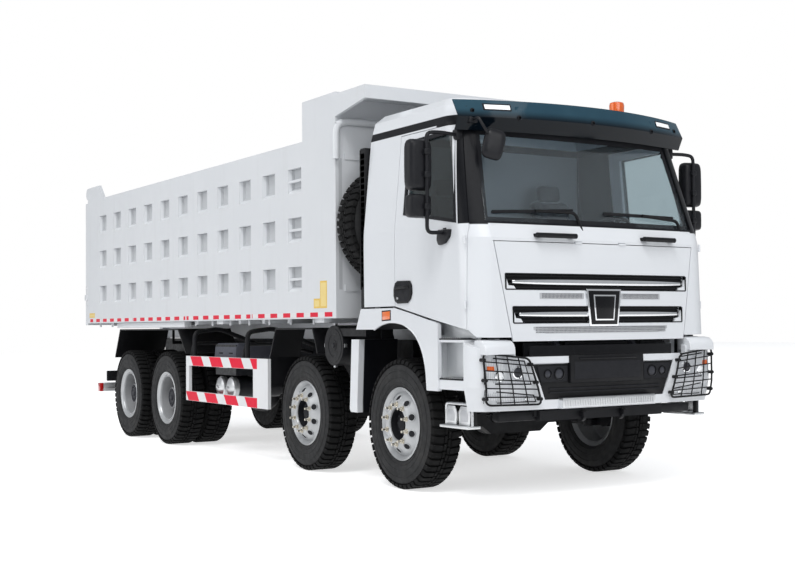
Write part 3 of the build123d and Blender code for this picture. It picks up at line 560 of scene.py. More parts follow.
def repeat_tree(name, maker, **inputs):
    """A node tree that sets a part on the points of a ring, a row or a grid, with a seeded random spin."""
    tree = bpy.data.node_groups.new(name, "GeometryNodeTree")
    kinds = {"Part": "NodeSocketObject", "Finish": "NodeSocketMaterial", "Spin": "NodeSocketFloat",
             "Seed": "NodeSocketInt", **inputs}
    for label, kind in kinds.items():
        tree.interface.new_socket(label, in_out="INPUT", socket_type=kind)
    tree.interface.new_socket("Geometry", in_out="OUTPUT", socket_type="NodeSocketGeometry")
    given = tree.nodes.new("NodeGroupInput").outputs
    link = tree.links.new
    points = tree.nodes.new(maker)
    for label in inputs:
        link(given[label], points.inputs[label])
    part = tree.nodes.new("GeometryNodeObjectInfo")
    link(given["Part"], part.inputs["Object"])
    chance = tree.nodes.new("FunctionNodeRandomValue")
    link(given["Spin"], chance.inputs[3])
    link(given["Seed"], chance.inputs["Seed"])
    turn = chance.outputs[1]
    if maker == "GeometryNodeMeshCircle":
        split = tree.nodes.new("ShaderNodeSeparateXYZ")
        link(tree.nodes.new("GeometryNodeInputPosition").outputs[0], split.inputs[0])
        angle = tree.nodes.new("ShaderNodeMath")
        angle.operation = "ARCTAN2"
        link(split.outputs["Y"], angle.inputs[0])
        link(split.outputs["X"], angle.inputs[1])
        total = tree.nodes.new("ShaderNodeMath")
        link(angle.outputs[0], total.inputs[0])
        link(turn, total.inputs[1])
        turn = total.outputs[0]
    euler = tree.nodes.new("ShaderNodeCombineXYZ")
    link(turn, euler.inputs["Z"])
    rotation = tree.nodes.new("FunctionNodeEulerToRotation")
    link(euler.outputs[0], rotation.inputs[0])
    copies = tree.nodes.new("GeometryNodeInstanceOnPoints")
    link(points.outputs[0], copies.inputs["Points"])
    link(part.outputs["Geometry"], copies.inputs["Instance"])
    link(rotation.outputs[0], copies.inputs["Rotation"])
    real = tree.nodes.new("GeometryNodeRealizeInstances")
    link(copies.outputs[0], real.inputs[0])
    painted = tree.nodes.new("GeometryNodeSetMaterial")
    link(real.outputs[0], painted.inputs["Geometry"])
    link(given["Finish"], painted.inputs["Material"])
    link(painted.outputs[0], tree.nodes.new("NodeGroupOutput").inputs[0])
    return tree


ring_tree = repeat_tree("ring of parts", "GeometryNodeMeshCircle", Vertices="NodeSocketInt",
                        Radius="NodeSocketFloat")
row_tree = repeat_tree("row of parts", "GeometryNodeMeshLine", Count="NodeSocketInt",
                       Offset="NodeSocketVector")
grid_tree = repeat_tree("grid of parts", "GeometryNodeMeshGrid", **{
    "Size X": "NodeSocketFloat", "Size Y": "NodeSocketFloat",
    "Vertices X": "NodeSocketInt", "Vertices Y": "NodeSocketInt"})


def repeated(tree, part, spin=0.0, **inputs):
    """A part repeated by a node tree, as a plain mesh."""
    source = part.to_object("repeated part")
    holder = bpy.data.objects.new("repeat", bpy.data.meshes.new("repeat"))
    bpy.context.scene.collection.objects.link(holder)
    modifier = holder.modifiers.new("repeat", "NODES")
    modifier.node_group = tree
    named = {item.name: item.identifier for item in tree.interface.items_tree if item.in_out == "INPUT"}
    values = {"Part": source, "Finish": source.data.materials[0], "Spin": spin, "Seed": SPIN_SEED}
    values.update({label.replace("_", " "): value for label, value in inputs.items()})
    for label, value in values.items():
        modifier[named[label]] = value
    depsgraph = bpy.context.evaluated_depsgraph_get()
    made = bpy.data.meshes.new_from_object(holder.evaluated_get(depsgraph))
    holder.modifiers.remove(modifier)
    bpy.data.objects.remove(holder)
    bpy.data.objects.remove(source)
    return made


def polygon(radius, sides=6):
    """Corners of an even polygon."""
    turns = [2 * math.pi * k / sides for k in range(sides)]
    return [(radius * math.cos(turn), radius * math.sin(turn)) for turn in turns]


def soft_square(power, count=20):
    """Points round a square with soft corners, one unit from its middle to each side."""
    return [[math.copysign(abs(v) ** power, v) for v in corner] for corner in polygon(1.0, count)]


def about(middle, half):
    """Low and high end of a length, from its middle."""
    return middle - half, middle + half


def spread(start, end, count):
    """Even values from a start to an end."""
    return [start + (end - start) * k / (count - 1) for k in range(count)]


def bolt(radius, height, finish):
    """A domed bolt head on its washer, standing along z."""
    return Shape().lathe([(0, -0.002), (radius * 1.5, -0.002), (radius * 1.5, height * 0.3),
                          (radius, height * 0.35), (radius * 0.8, height), (0, height)], finish, steps=8)


def axes(x, y, z, spot):
    """A matrix from three column directions and a place."""
    return Matrix.Translation(spot) @ Matrix((x, y, z)).transposed().to_4x4()


def facing_front(spot):
    """A place whose own z points ahead of the truck."""
    return axes((1, 0, 0), (0, 0, 1), (0, -1, 0), spot)


def facing_out(spot):
    """A place whose own z points away from the middle of the truck."""
    return axes((0, 1, 0), (0, 0, 1), (1, 0, 0), spot)


def skin_of(*names):
    """The surface of some CAD nodes, for finding where a detail sits."""
    corners, faces = [], []
    for name in names:
        start = len(corners)
        corners += [vertex.co.copy() for vertex in nodes[name].data.vertices]
        faces += [[start + i for i in face.vertices] for face in nodes[name].data.polygons]
    return BVHTree.FromPolygons(corners, faces)


def front_skin(tree):
    """How far back a surface starts, over x and z."""
    def reach(x, z):
        return tree.ray_cast(Vector((x, AXLE_1 - RAY_START, z)), Vector((0, 1, 0)))[0].y - AXLE_1
    return reach


def side_skin(tree, side):
    """How far a surface stands out from the middle, over y and z."""
    def reach(y, z):
        return tree.ray_cast(Vector((side * RAY_START, y + AXLE_1, z)), Vector((-side, 0, 0)))[0].x * side
    return reach


# Wheels: tyre carcass and tread, then rims with their nuts and hand-holes.
TREAD_RADIUS = 0.532
LUGS = 50
NUTS = 10
NUT_CIRCLE = 0.1675
HAND_HOLE_TILT = 0.70
SPARE_SCALE = 0.98
SPARE_RIM_FLATTEN = 0.6


def tyre_on(shape, place):
    """A lug tyre round local z."""
    wall = [(0.288, 0.100), (0.305, 0.118), (0.33, 0.136), (0.37, 0.147), (0.42, 0.1495), (0.465, 0.146),
            (0.50, 0.138)]
    crown = [(0.495, 0.132), (0.524, 0.122), (0.531, 0.10), (0.533, 0.03)]
    # The crown and the lugs take the darker tread rubber, which is painted shade.
    for half, finish in ((wall, rubber), (crown, tread_rubber_shaded)):
        shape.lathe(half + [(r, -h) for r, h in reversed(half)], finish, place, 96)
    for r in (0.345, 0.392, 0.452):
        for h in (1, -1):
            face = 0.141 if r < 0.36 else 0.148
            shape.lathe([(r - 0.004, h * face), (r - 0.002, h * (face + 0.003)),
                         (r + 0.002, h * (face + 0.003)), (r + 0.004, h * face)], rubber, place, 72)
    lug = [(-0.006, 0.034), (0.018, 0.038), (0.018, 0.116), (0.010, 0.134), (-0.020, 0.1455), (-0.026, 0.126)]
    rib = [(-0.006, 0.004), (0.018, 0.006), (0.018, 0.030), (-0.006, 0.032)]
    flip = Matrix.Rotation(math.pi / LUGS, 4, "Z") @ Matrix.Scale(-1, 4, (0, 0, 1))
    for outline, length, slant in ((lug, 0.046, 0.010), (rib, 0.055, -0.016)):
        ends = [[(x, end * length + slant * (z / 0.1 - 0.5), z) for x, z in outline] for end in (-0.5, 0.5)]
        row = repeated(ring_tree, Shape().loft(ends, tread_rubber_shaded), Vertices=LUGS, Radius=TREAD_RADIUS)
        shape.take(row, tread_rubber_shaded, place)
        shape.take(row, tread_rubber_shaded, place @ flip)


def ring_on(shape, place, part, finish, count, radius, height, spin=0.0):
    """A ring of parts round local z."""
    row = repeated(ring_tree, part, spin, Vertices=count, Radius=radius)
    shape.take(row, finish, place @ Matrix.Translation((0, 0, height)))


def wheel_nuts(shape, place, height):
    """Nuts on their washers, with the ends of the studs."""
    nut = Shape()
    nut.prism(polygon(0.0185), "z", 0.0, 0.021, nut_brass, 0.002)
    nut.prism(polygon(0.0105, 8), "z", 0.021, 0.050, nut_brass)
    nut.prism(polygon(0.024, 10), "z", -0.003, 0.004, nut_brass)
    ring_on(shape, place, nut, nut_brass, NUTS, NUT_CIRCLE, height, 1.0)


def hand_holes(shape, place, height, radius, tilt=0.0):
    """Hand holes drawn as black discs, painted shade where the real holes show only shadow, each with a
    raised lip and tilted with the face of the dish.
    """
    shade_disc = [(0, -0.004), (0.0285, -0.004), (0.0285, 0.0035), (0, 0.0035)]
    lip = [(0.0275, -0.004), (0.0275, 0.005), (0.031, 0.007), (0.036, 0.001), (0.036, -0.004)]
    for profile, finish in ((shade_disc, seal_black), (lip, wheel_silver)):
        part = Shape().lathe(profile, finish, Matrix.Rotation(tilt, 4, "Y"), 20)
        ring_on(shape, place, part, finish, NUTS, radius, height)


def steer_rim(shape, place):
    """Rim, bulging dish and dark hub of a front wheel."""
    shape.lathe([(0.303, 0.116), (0.311, 0.130), (0.302, 0.137), (0.288, 0.120), (0.270, 0.098),
                 (0.268, -0.10), (0.305, -0.130), (0.311, -0.118), (0.284, -0.09), (0.284, 0.088)],
                wheel_silver, place, 64)
    shape.lathe([(0.134, 0.140), (0.135, 0.158), (0.141, 0.166), (0.152, 0.169), (0.184, 0.167),
                 (0.200, 0.160), (0.238, 0.128), (0.256, 0.106), (0.276, 0.090), (0.276, 0.074),
                 (0.246, 0.092), (0.205, 0.136), (0.18, 0.150)], wheel_silver, place, 64)
    shape.lathe([(0, 0.128), (0.040, 0.128), (0.056, 0.122), (0.060, 0.100), (0.104, 0.094), (0.132, 0.088),
                 (0.134, 0.146), (0.1355, 0.146), (0.137, 0.02), (0, 0.02)], seal_black, place, 40)
    ring_on(shape, place, bolt(0.009, 0.012, hub_black), hub_black, 8, 0.085, 0.097)
    hand_holes(shape, place, 0.144, 0.219, HAND_HOLE_TILT)
    wheel_nuts(shape, place, 0.1685)


def drive_rim(shape, place):
    """Rim, sunk dish, barrel and standing hub of an outer rear wheel."""
    shape.lathe([(0.303, 0.116), (0.311, 0.130), (0.304, 0.137), (0.296, 0.134), (0.288, 0.122),
                 (0.276, 0.116), (0.270, 0.104), (0.264, 0.104), (0.261, 0.112), (0.255, 0.112),
                 (0.252, 0.100), (0.250, -0.130), (0.272, -0.138), (0.290, -0.10), (0.286, 0.088)],
                wheel_silver, place, 64)
    # The sunk dish, the inside of the barrel and the ring at the hub take the darker dish grey, which is
    # painted shade.
    shape.lathe([(0.112, -0.136), (0.126, -0.128), (0.205, -0.126), (0.240, -0.136), (0.266, -0.130),
                 (0.266, -0.156), (0.112, -0.156)], dish_grey_shaded, place, 64)
    shape.lathe([(0.2515, 0.094), (0.2485, 0.06), (0.246, -0.02), (0.240, -0.13), (0.254, -0.13),
                 (0.256, 0.094)], dish_grey_shaded, place, 64)
    shape.lathe([(0, 0.082), (0.030, 0.080), (0.036, 0.066), (0.070, 0.064), (0.076, 0.058), (0.098, 0.060),
                 (0.112, 0.066), (0.119, 0.058), (0.120, -0.03), (0.130, -0.120), (0.130, -0.16), (0, -0.16)],
                hub_black, place, 40)
    shape.lathe([(0.111, 0.064), (0.1135, 0.0685), (0.119, 0.064), (0.121, 0.050), (0.112, 0.050)], dish_grey_shaded,
                place, 40)
    ring_on(shape, place, bolt(0.008, 0.010, hub_black), hub_black, 10, 0.088, 0.059)
    hand_holes(shape, place, -0.131, 0.222)
    wheel_nuts(shape, place, -0.127)


def inner_rim(shape, place):
    """Plain rim of the wheel behind the outer one."""
    shape.lathe([(0.303, 0.116), (0.311, 0.130), (0.288, 0.120), (0.270, 0.05), (0.268, -0.10),
                 (0.305, -0.130), (0.311, -0.118), (0.284, -0.09), (0.284, 0.088)], wheel_silver, place, 48)


def wheel_place(side, x, y):
    """A place at hub height whose own z points away from the truck."""
    return axes((0, 0, 1), (0, -side, 0), (side, 0, 0), (side * x, y, WHEEL_RADIUS))


for side, hand in SIDES:
    for number, along in STEER_AXLES:
        place = wheel_place(side, STEER_X, along)
        tyre, rim = Shape(), Shape()
        tyre_on(tyre, place)
        steer_rim(rim, place)
        piece(f"lug_tyre_{number}_{hand}", tyre, f"wheel_{number}_{hand}", "tyre", f"tyre_{number}_{hand}")
        piece(f"steel_rim_{number}_{hand}", rim, f"wheel_{number}_{hand}", "wheel_silver",
              f"rim_{number}_{hand}")
    for number, along in DRIVE_AXLES:
        outer, inner = wheel_place(side, TWIN_X, along), wheel_place(side, TWIN_X - TWIN_GAP, along)
        tyre, rim = Shape(), Shape()
        tyre_on(tyre, outer)
        tyre_on(tyre, inner)
        drive_rim(rim, outer)
        inner_rim(rim, inner)
        piece(f"twin_tyres_{number}_{hand}", tyre, f"wheels_{number}_{hand}", "tyre",
              f"tyres_{number}_{hand}")
        piece(f"twin_rims_{number}_{hand}", rim, f"wheels_{number}_{hand}", "wheel_silver",
              f"rims_{number}_{hand}")

spare = Shape()
spare_place = axes((0, 0, 1), (1, 0, 0), (0, -1, 0), (-0.76, 0.753, 2.30))
tyre_on(spare, spare_place @ Matrix.Scale(SPARE_SCALE, 4))
drive_rim(spare, spare_place @ Matrix.Scale(SPARE_SCALE, 4) @ Matrix.Scale(SPARE_RIM_FLATTEN, 4, (0, 0, 1)))
piece("spare_tyre_and_rim", spare, "chassis", "tyre", "spare_wheel")


# Skins of the cab's front, as y over x and z.
def flap_skin(x, z):
    return -1.302 + 0.0465 * (z - 1.2) + 0.03 * (x / 1.03) ** 2


def screen_skin(x, z):
    return -1.203 + 0.319 * (z - 2.18) + 0.04 * x * x


def visor_skin(x, z):
    levels = ((2.925, -1.095, -0.93), (3.025, -1.190, -0.985), (3.17, -1.165, -0.900))
    low, high = levels[:2] if z < levels[1][0] else levels[1:]
    part = (z - low[0]) / (high[0] - low[0])
    middle = low[1] + (high[1] - low[1]) * part
    end = low[2] + (high[2] - low[2]) * part
    return middle + (end - middle) * (x / 1.19) ** 2


# Grille: dark liners in the slots, bright bars, perforated strips and a bare plate in the middle.
DOT_PITCH = 0.0125
grille = Shape()
for low, high, half in ((1.659, 1.778, 0.944), (1.395, 1.519, 0.884)):
    grille.strip([(x, low, high) for x in spread(-half + 0.012, half - 0.012, 15)], flap_skin, -0.0325,
                 0.0345, gloss_black)
    for z in spread(low + 0.014, high - 0.014, 4):
        grille.strip([(x, *about(z, 0.006)) for x in spread(-half + 0.02, half - 0.02, 15)], flap_skin,
                     -0.016, 0.033, moulded_black)
    for edge in (low - 0.002, high + 0.002):
        grille.strip([(x, *about(edge, 0.005)) for x in spread(-half, half, 15)], flap_skin, 0.003, 0.012,
                     gloss_black, 0.002)
    for end in (-half, half):
        grille.prism([(end - 0.006, low), (end + 0.006, low), (end + 0.006, high), (end - 0.006, high)], "y",
                     flap_skin(half, low) - 0.003, flap_skin(half, low) + 0.03, gloss_black)
for ends, z, depth in (((-0.885, 0.885), 1.716, 0.022), ((-0.83, -0.16), 1.461, 0.020),
                       ((0.16, 0.83), 1.461, 0.020)):
    stations = []
    for x in spread(*ends, 17):
        tall = depth * (1 - 0.45 * (abs(x) / 0.885) ** 4)
        stations.append((x, *about(z, tall)))
    grille.strip(stations, flap_skin, 0.006, 0.024, chrome, 0.006)
for top, foot, low, high, front, back, finish, bevel in (
        (0.185, 0.150, 1.362, 1.665, -1.306, -1.262, chrome, 0.006),
        (0.165, 0.134, 1.377, 1.650, -1.311, -1.29, gloss_black, 0.004),
        (0.118, 0.098, 1.409, 1.618, -1.315, -1.30, chrome, 0.003),
        (0.104, 0.087, 1.421, 1.606, -1.318, -1.30, gloss_black, 0.002)):
    grille.prism([(-top, high), (-foot, low), (foot, low), (top, high)], "y", front, back, finish, bevel)
for low, high, ends, shrink in ((1.583, 1.630, (-0.63, -0.195), 0.0), (1.583, 1.630, (0.195, 0.63), 0.0),
                                (1.310, 1.364, (-0.70, 0.70), 0.03)):
    stations = [(x, low + (shrink if abs(x) > 0.69 else 0.0), high) for x in spread(*ends, 13)]
    grille.strip(stations, flap_skin, 0.003, 0.008, perforated_grey, 0.001)
    wide = ends[1] - ends[0] - 0.05
    # Painted shade: the holes of the perforated strip are black dots standing in for the shade seen through
    # them.
    dot = Shape().prism(polygon(0.0036), "z", -0.002, 0.0012, seal_black)
    hole_shade_dots = repeated(grid_tree, dot, Size_X=wide, Size_Y=high - low - 0.016, Vertices_X=int(wide / DOT_PITCH),
                    Vertices_Y=4)
    centre = Vector(((ends[0] + ends[1]) / 2, (low + high) / 2))

    def on_flap(point):
        x, z = point.xy + centre
        return x, flap_skin(x, z) - 0.003 - point.z, z
    grille.take(hole_shade_dots, seal_black, bend=on_flap)
piece("grille_bars_and_liners", grille, "front_flap", "black_plastic")

# Cowl: grab handles and wipers.
WIPER_LIFT = 0.035
cowl = Shape()
for start, end in ((-0.665, -0.282), (0.44, 0.80)):
    ends = [Vector((x, screen_skin(x, 2.08) - 0.075, 2.085)) for x in (start, end)]
    feet = [Vector((x, flap_skin(x, 2.085) + 0.012, 2.085)) for x in (start + 0.03, end - 0.03)]
    cowl.tube([ends[0], ends[1]], 0.021, moulded_black)
    for foot, tip in zip(feet, ends):
        cowl.block(about(foot.x, 0.026), (tip.y - 0.01, foot.y + 0.03), (2.072, 2.10), moulded_black, 0.006)
for pivot, elbow, tip, far in (((-0.136, 2.066), (-0.206, 2.285), (-1.0, 2.262), (-0.22, 2.300)),
                               ((0.97, 2.062), (0.935, 2.262), (0.10, 2.290), (0.90, 2.285))):
    base = (pivot[0], screen_skin(pivot[0], 2.18) - 0.02, pivot[1])
    cowl.lathe([(0, 0.03), (0.018, 0.028), (0.026, 0.018), (0.028, -0.05), (0, -0.05)], moulded_black,
               facing_front(base), 16)
    middle = ((tip[0] + elbow[0]) / 2, (tip[1] + far[1]) / 2 + 0.004)
    arm = [(base[0], base[1] - 0.012, base[2])]
    arm += [(x, screen_skin(x, z) - WIPER_LIFT, z) for x, z in (elbow, middle)]
    cowl.tube(arm, 0.0135, moulded_black, 0.05)
    for level, out, size in ((0.0, 0.014, 0.011), (0.008, 0.024, 0.008)):
        blade = zip(spread(far[0], tip[0], 9), spread(far[1] + level, tip[1] + level, 9))
        cowl.tube([(x, screen_skin(x, z) - out, z) for x, z in blade], size, seal_black, sides=6)
piece("wipers_and_cowl_handles", cowl, "cab", "black_plastic")

# Windscreen surround: a dark printed border inside the glass edge.
border = Shape()
for low, high, half in ((2.192, 2.225, 1.075), (2.900, 2.952, 0.985)):
    border.strip([(x, low, high) for x in spread(-half, half, 17)], screen_skin, 0.0015, 0.004, seal_black)
for side, _ in SIDES:
    border.side = side
    rings = []
    for a, b, z in zip(spread(1.076, 0.992, 7), spread(1.040, 0.956, 7), spread(2.19, 2.955, 7)):
        section = ((a, -0.0015), (b, -0.0015), (b, 0.004), (a, 0.004))
        rings.append([(x, screen_skin(x, z) + out, z) for x, out in section])
    border.loft(rings, seal_black)
piece("windscreen_border", border, "cab", "dark_trim")

# Visor: marker lamps, fixing bolts, stay brackets and a roof beacon.
crown = Shape()
for start, end in ((-0.97, -0.765), (0.80, 1.0)):
    crown.strip([(x, 3.082, 3.140) for x in spread(start - 0.012, end + 0.012, 6)], visor_skin, 0.006, 0.02,
                seal_black, 0.003)
    crown.strip([(x, 3.092, 3.130) for x in spread(start, end, 6)], visor_skin, 0.011, 0.02, lamp_led, 0.004)
for x, z in ((-1.07, 3.075), (-0.70, 3.03), (0.0, 3.035), (0.70, 3.03), (1.07, 3.075)):
    head = repeated(ring_tree, bolt(0.013, 0.012, seal_black), Vertices=3, Radius=0.002)
    crown.take(head, seal_black, facing_front((x, visor_skin(x, z), z)))
for x in (-1.09, -0.55, 0.0, 0.55, 1.09):
    crown.block(about(x, 0.02), (visor_skin(x, 3.10) + 0.01, -0.86), (3.085, 3.115), seal_black, 0.003)
beacon = Matrix.Translation((0.62, -0.76, 3.205))
crown.lathe([(0, 0), (0.075, 0), (0.078, 0.02), (0.066, 0.032), (0, 0.032)], moulded_black, beacon, 28)
crown.lathe([(0, 0.030), (0.064, 0.032), (0.067, 0.095), (0.060, 0.118), (0.03, 0.128), (0, 0.130)],
            lamp_orange, beacon, 28)
piece("visor_lamps_and_beacon", crown, "cab", "dark_trim")


# Doors: handle pocket and grip, window seal, and the mirrors on their stays.
WINDOW = ((-0.205, 2.322), (-0.205, 2.905), (-0.830, 2.920), (-0.985, 2.200))
WINDOW_CENTRE = Vector((-0.52, 2.59))
HANDLE_POCKET = ((-0.320, 1.600), (-0.342, 1.650), (-0.338, 1.715), (-0.308, 1.752), (-0.110, 1.756),
                 (-0.072, 1.738), (-0.048, 1.690), (-0.048, 1.630), (-0.070, 1.585), (-0.110, 1.566),
                 (-0.270, 1.568))
MIRROR_X = 1.453
MIRROR_FACE = ((-1, -0.85), (-0.85, -1), (0.85, -1), (1, -0.85), (1, 0.85), (0.85, 1), (-0.85, 1), (-1, 0.85))
MIRROR_STAY = ((1.10, -0.865, 2.893), (1.30, -0.872, 2.902), (1.420, -0.872, 2.893), (1.420, -0.872, 2.105),
               (1.27, -0.858, 2.112), (1.17, -0.842, 2.115))
STAY_FOOT = ((-0.945, 2.135), (-0.93, 2.075), (-0.87, 2.028), (-0.78, 2.015), (-0.755, 2.06), (-0.77, 2.14))


def window_seal(shape, door_x):
    """A seal round the door window, from outside its edge to just inside it."""
    corners = [Vector(corner) for corner in WINDOW]
    outer, inner = [[corner + (corner - WINDOW_CENTRE).normalized() * grow for corner in corners]
                    for grow in (0.032, -0.012)]
    for a, b, c, d in zip(outer, outer[1:] + outer[:1], inner[1:] + inner[:1], inner):
        rings = []
        for part in spread(0, 1, 6):
            first, second = a.lerp(b, part), d.lerp(c, part)
            face = door_x(*first)
            section = ((first, 0.003), (second, 0.003), (second, -0.012), (first, -0.012))
            rings.append([(face + lift, *spot) for spot, lift in section])
        shape.loft(rings, seal_black)


for side, hand in SIDES:
    trim = Shape(side)
    trim.prism(HANDLE_POCKET, "x", 1.235, 1.2515, moulded_black, 0.006)
    trim.prism([(y * 0.8 - 0.037, z * 0.8 + 0.3325) for y, z in HANDLE_POCKET], "x", 1.2505, 1.2525,
               seal_black)
    trim.tube([(1.250, -0.30, 1.70), (1.270, -0.275, 1.70), (1.270, -0.11, 1.695), (1.250, -0.085, 1.695)],
              0.012, moulded_black, 0.02)
    trim.lathe([(0, 0.004), (0.011, 0.004), (0.012, 0), (0, -0.004)], bright_steel,
               facing_out((1.2525, -0.12, 1.61)), 16)
    window_seal(trim, side_skin(skin_of(f"door_{hand}"), side))
    piece(f"door_trim_{hand}", trim, f"door_{hand}", "black_plastic")

    mirrors = Shape(side)
    for low, high, wide in ((2.225, 2.410, 0.100), (2.438, 2.846, 0.106)):
        middle, tall = (low + high) / 2, high - low
        rings = []
        for y, grow in ((-0.858, 0.62), (-0.853, 0.80), (-0.835, 0.95), (-0.80, 1.0), (-0.762, 0.985),
                        (-0.752, 0.95)):
            half = tall / 2 * (1 + grow) / 2
            rings.append([(MIRROR_X + wide * grow * u, y, middle + half * v) for u, v in soft_square(0.35)])
        mirrors.loft(rings, mirror_black)
        face = [(MIRROR_X + u * wide * 0.86, middle + v * tall * 0.45) for u, v in MIRROR_FACE]
        mirrors.prism(face, "y", -0.753, -0.7495, mirror_face)
    mirrors.tube(MIRROR_STAY, 0.0155, mirror_black, 0.05, 12)
    for z in (2.31, 2.56, 2.74):
        mirrors.block((1.395, 1.447), (-0.893, -0.845), about(z, 0.022), mirror_black, 0.006)
    mirrors.prism(STAY_FOOT, "x", 1.225, 1.268, mirror_black, 0.012)
    for x, y, z in ((1.19, -0.842, 2.115), (1.105, -0.865, 2.893)):
        mirrors.block(about(x, 0.05), about(y, 0.035), about(z, 0.045), mirror_black, 0.012)
    piece(f"mirror_shells_{hand}", mirrors, f"door_{hand}", "black_plastic", f"mirror_{hand}")

# Kerb mirror hung from the visor's right corner.
KERB_PLACE = Vector((-0.955, -1.125, 2.80))
KERB_TURN = Matrix.Rotation(0.28, 3, "Y") @ Matrix.Rotation(-0.35, 3, "Z")
kerb = Shape()
kerb.tube([(-1.07, -0.985, 3.00), (-1.075, -1.09, 3.01), (-1.055, -1.12, 2.95), (-1.01, -1.125, 2.885)],
          0.012, mirror_black, 0.03)
kerb.block((-1.11, -1.03), (-1.02, -0.95), (2.975, 3.025), mirror_black, 0.01)
rings = []
for depth, grow in ((-0.036, 0.55), (-0.030, 0.8), (-0.014, 0.96), (0.004, 1.0), (0.014, 0.97)):
    rings.append([KERB_TURN @ Vector((0.088 * grow * u, depth, 0.125 * grow * v)) + KERB_PLACE
                  for u, v in soft_square(0.5)])
kerb.loft(rings, mirror_black)
piece("kerb_mirror", kerb, "cab", "black_plastic")

# Bumper: dark backing, recessed insert with plate holder and fog lamps, ribbed step and under-beam.
bumper_skin = front_skin(skin_of("front_bumper", "headlamps"))
nose = Shape()
for low, high in ((-0.74, -0.47), (-0.33, 0.33), (0.47, 0.74)):
    nose.block((low, high), (-1.205, -1.19), (1.0, 1.235), seal_black)
nose.block((-0.745, 0.745), (-1.287, -1.280), (1.05, 1.213), gloss_black, 0.003)
nose.prism([(-0.735, 1.068), (-0.615, 0.790), (0.615, 0.790), (0.735, 1.068)], "y", -1.312, -1.290,
           moulded_black, 0.004)
nose.block((-0.385, 0.385), (-1.345, -1.30), (0.912, 1.135), moulded_black, 0.012)
nose.block((-0.345, 0.345), (-1.348, -1.335), (0.942, 1.082), seal_black, 0.004)
nose.block((-0.30, 0.30), (-1.352, -1.34), (1.098, 1.116), gloss_black, 0.004)
for z in (0.842, 0.872):
    nose.block((-0.58, 0.58), (-1.322, -1.30), about(z, 0.006), seal_black, 0.002)
for side, _ in SIDES:
    nose.side = side
    nose.prism([(0.40, 0.925), (0.665, 0.925), (0.70, 1.052), (0.40, 1.052)], "y", -1.326, -1.30, seal_black,
               0.006)
    for x, size in ((0.487, 0.042), (0.60, 0.032)):
        spot = facing_front((x, -1.322, 0.99))
        nose.lathe([(size * 0.98, 0), (size * 1.2, 0), (size * 1.2, 0.012), (size, 0.014)], gloss_black, spot,
                   24)
        nose.lathe([(0, 0.011), (size * 0.6, 0.009), (size, 0.003), (size, -0.004), (0, -0.004)], lamp_dark,
                   spot, 24)
tread = [(-1.372, 0.724), (-1.372, 0.790), (-1.362, 0.800), (-1.30, 0.800), (-1.30, 0.724)]
nose.prism(tread, "x", -0.485, 0.485, step_aluminium, 0.003)
rib = Shape().block((-0.006, 0.006), (-0.004, 0.004), (-0.026, 0.026), step_aluminium)
# Painted shade: the slots in the step tread are thin black blocks standing in for the shade seen through the
# openings.
slot = Shape().block((-0.005, 0.005), (-0.022, 0.022), (-0.002, 0.0015), seal_black)
for part, finish, y, z in ((rib, step_aluminium, -1.373, 0.757), (slot, seal_black, -1.335, 0.800)):
    row = repeated(row_tree, part, Count=37, Offset=(0.0255, 0, 0))
    nose.take(row, finish, Matrix.Translation((-0.459, y, z)))
nose.block((-1.0, 1.0), (-1.22, -1.14), (0.625, 0.70), chassis_black, 0.01)
for x in (-0.62, 0.62):
    nose.block(about(x, 0.05), (-1.24, -1.15), (0.655, 0.78), chassis_black, 0.008)
for x in (-0.20, 0.20):
    nose.lathe([(0.028, -0.015), (0.05, -0.015), (0.05, 0.015), (0.028, 0.015)], chassis_black,
               facing_out((x, -1.245, 0.648)), 24)
piece("bumper_insert_and_step", nose, "chassis", "black_plastic")

# Headlamps: lens patches on the lamp's own skin behind a wire guard.
LAMP_PATCHES = (
    (((1.174, 0.925), (0.752, 0.911), (0.809, 1.101), (1.175, 1.137)), 0.0015, gloss_black, 5),
    (((1.169, 0.777), (0.702, 0.776), (0.726, 0.834), (1.170, 0.882)), 0.0015, gloss_black, 5),
    (((1.165, 0.935), (0.765, 0.922), (0.818, 1.092), (1.166, 1.126)), 0.003, lamp_silver, 5),
    (((1.150, 0.952), (0.985, 0.944), (1.005, 1.096), (1.150, 1.112)), 0.006, lamp_clear, 5),
    (((1.150, 1.028), (1.09, 1.026), (1.095, 1.062), (1.150, 1.064)), 0.010, lamp_orange, 4),
    (((0.965, 0.940), (0.785, 0.933), (0.832, 1.078), (0.985, 1.094)), 0.005, lamp_silver, 5),
    (((1.160, 0.785), (0.715, 0.785), (0.735, 0.825), (1.162, 0.872)), 0.004, lamp_silver, 5),
    (((1.140, 0.800), (0.90, 0.796), (0.90, 0.835), (1.142, 0.858)), 0.008, lamp_clear, 5),
)
BOWLS = ((0.885, 1.010, 0.040, lamp_dark), (0.80, 0.806, 0.016, lamp_led), (1.05, 0.985, 0.034, lamp_led))
GUARD_CORNERS = ((1.196, 1.165), (0.79, 1.118), (0.675, 0.758), (1.172, 0.766))
GUARD_BEND = 0.045
GUARD_OUT = 0.036
BUMPER_TOP = ((-1.335, 1.15), (-1.335, 1.205), (-1.315, 1.236), (-1.285, 1.256), (-1.225, 1.264),
              (-1.18, 1.260), (-1.18, 1.15))


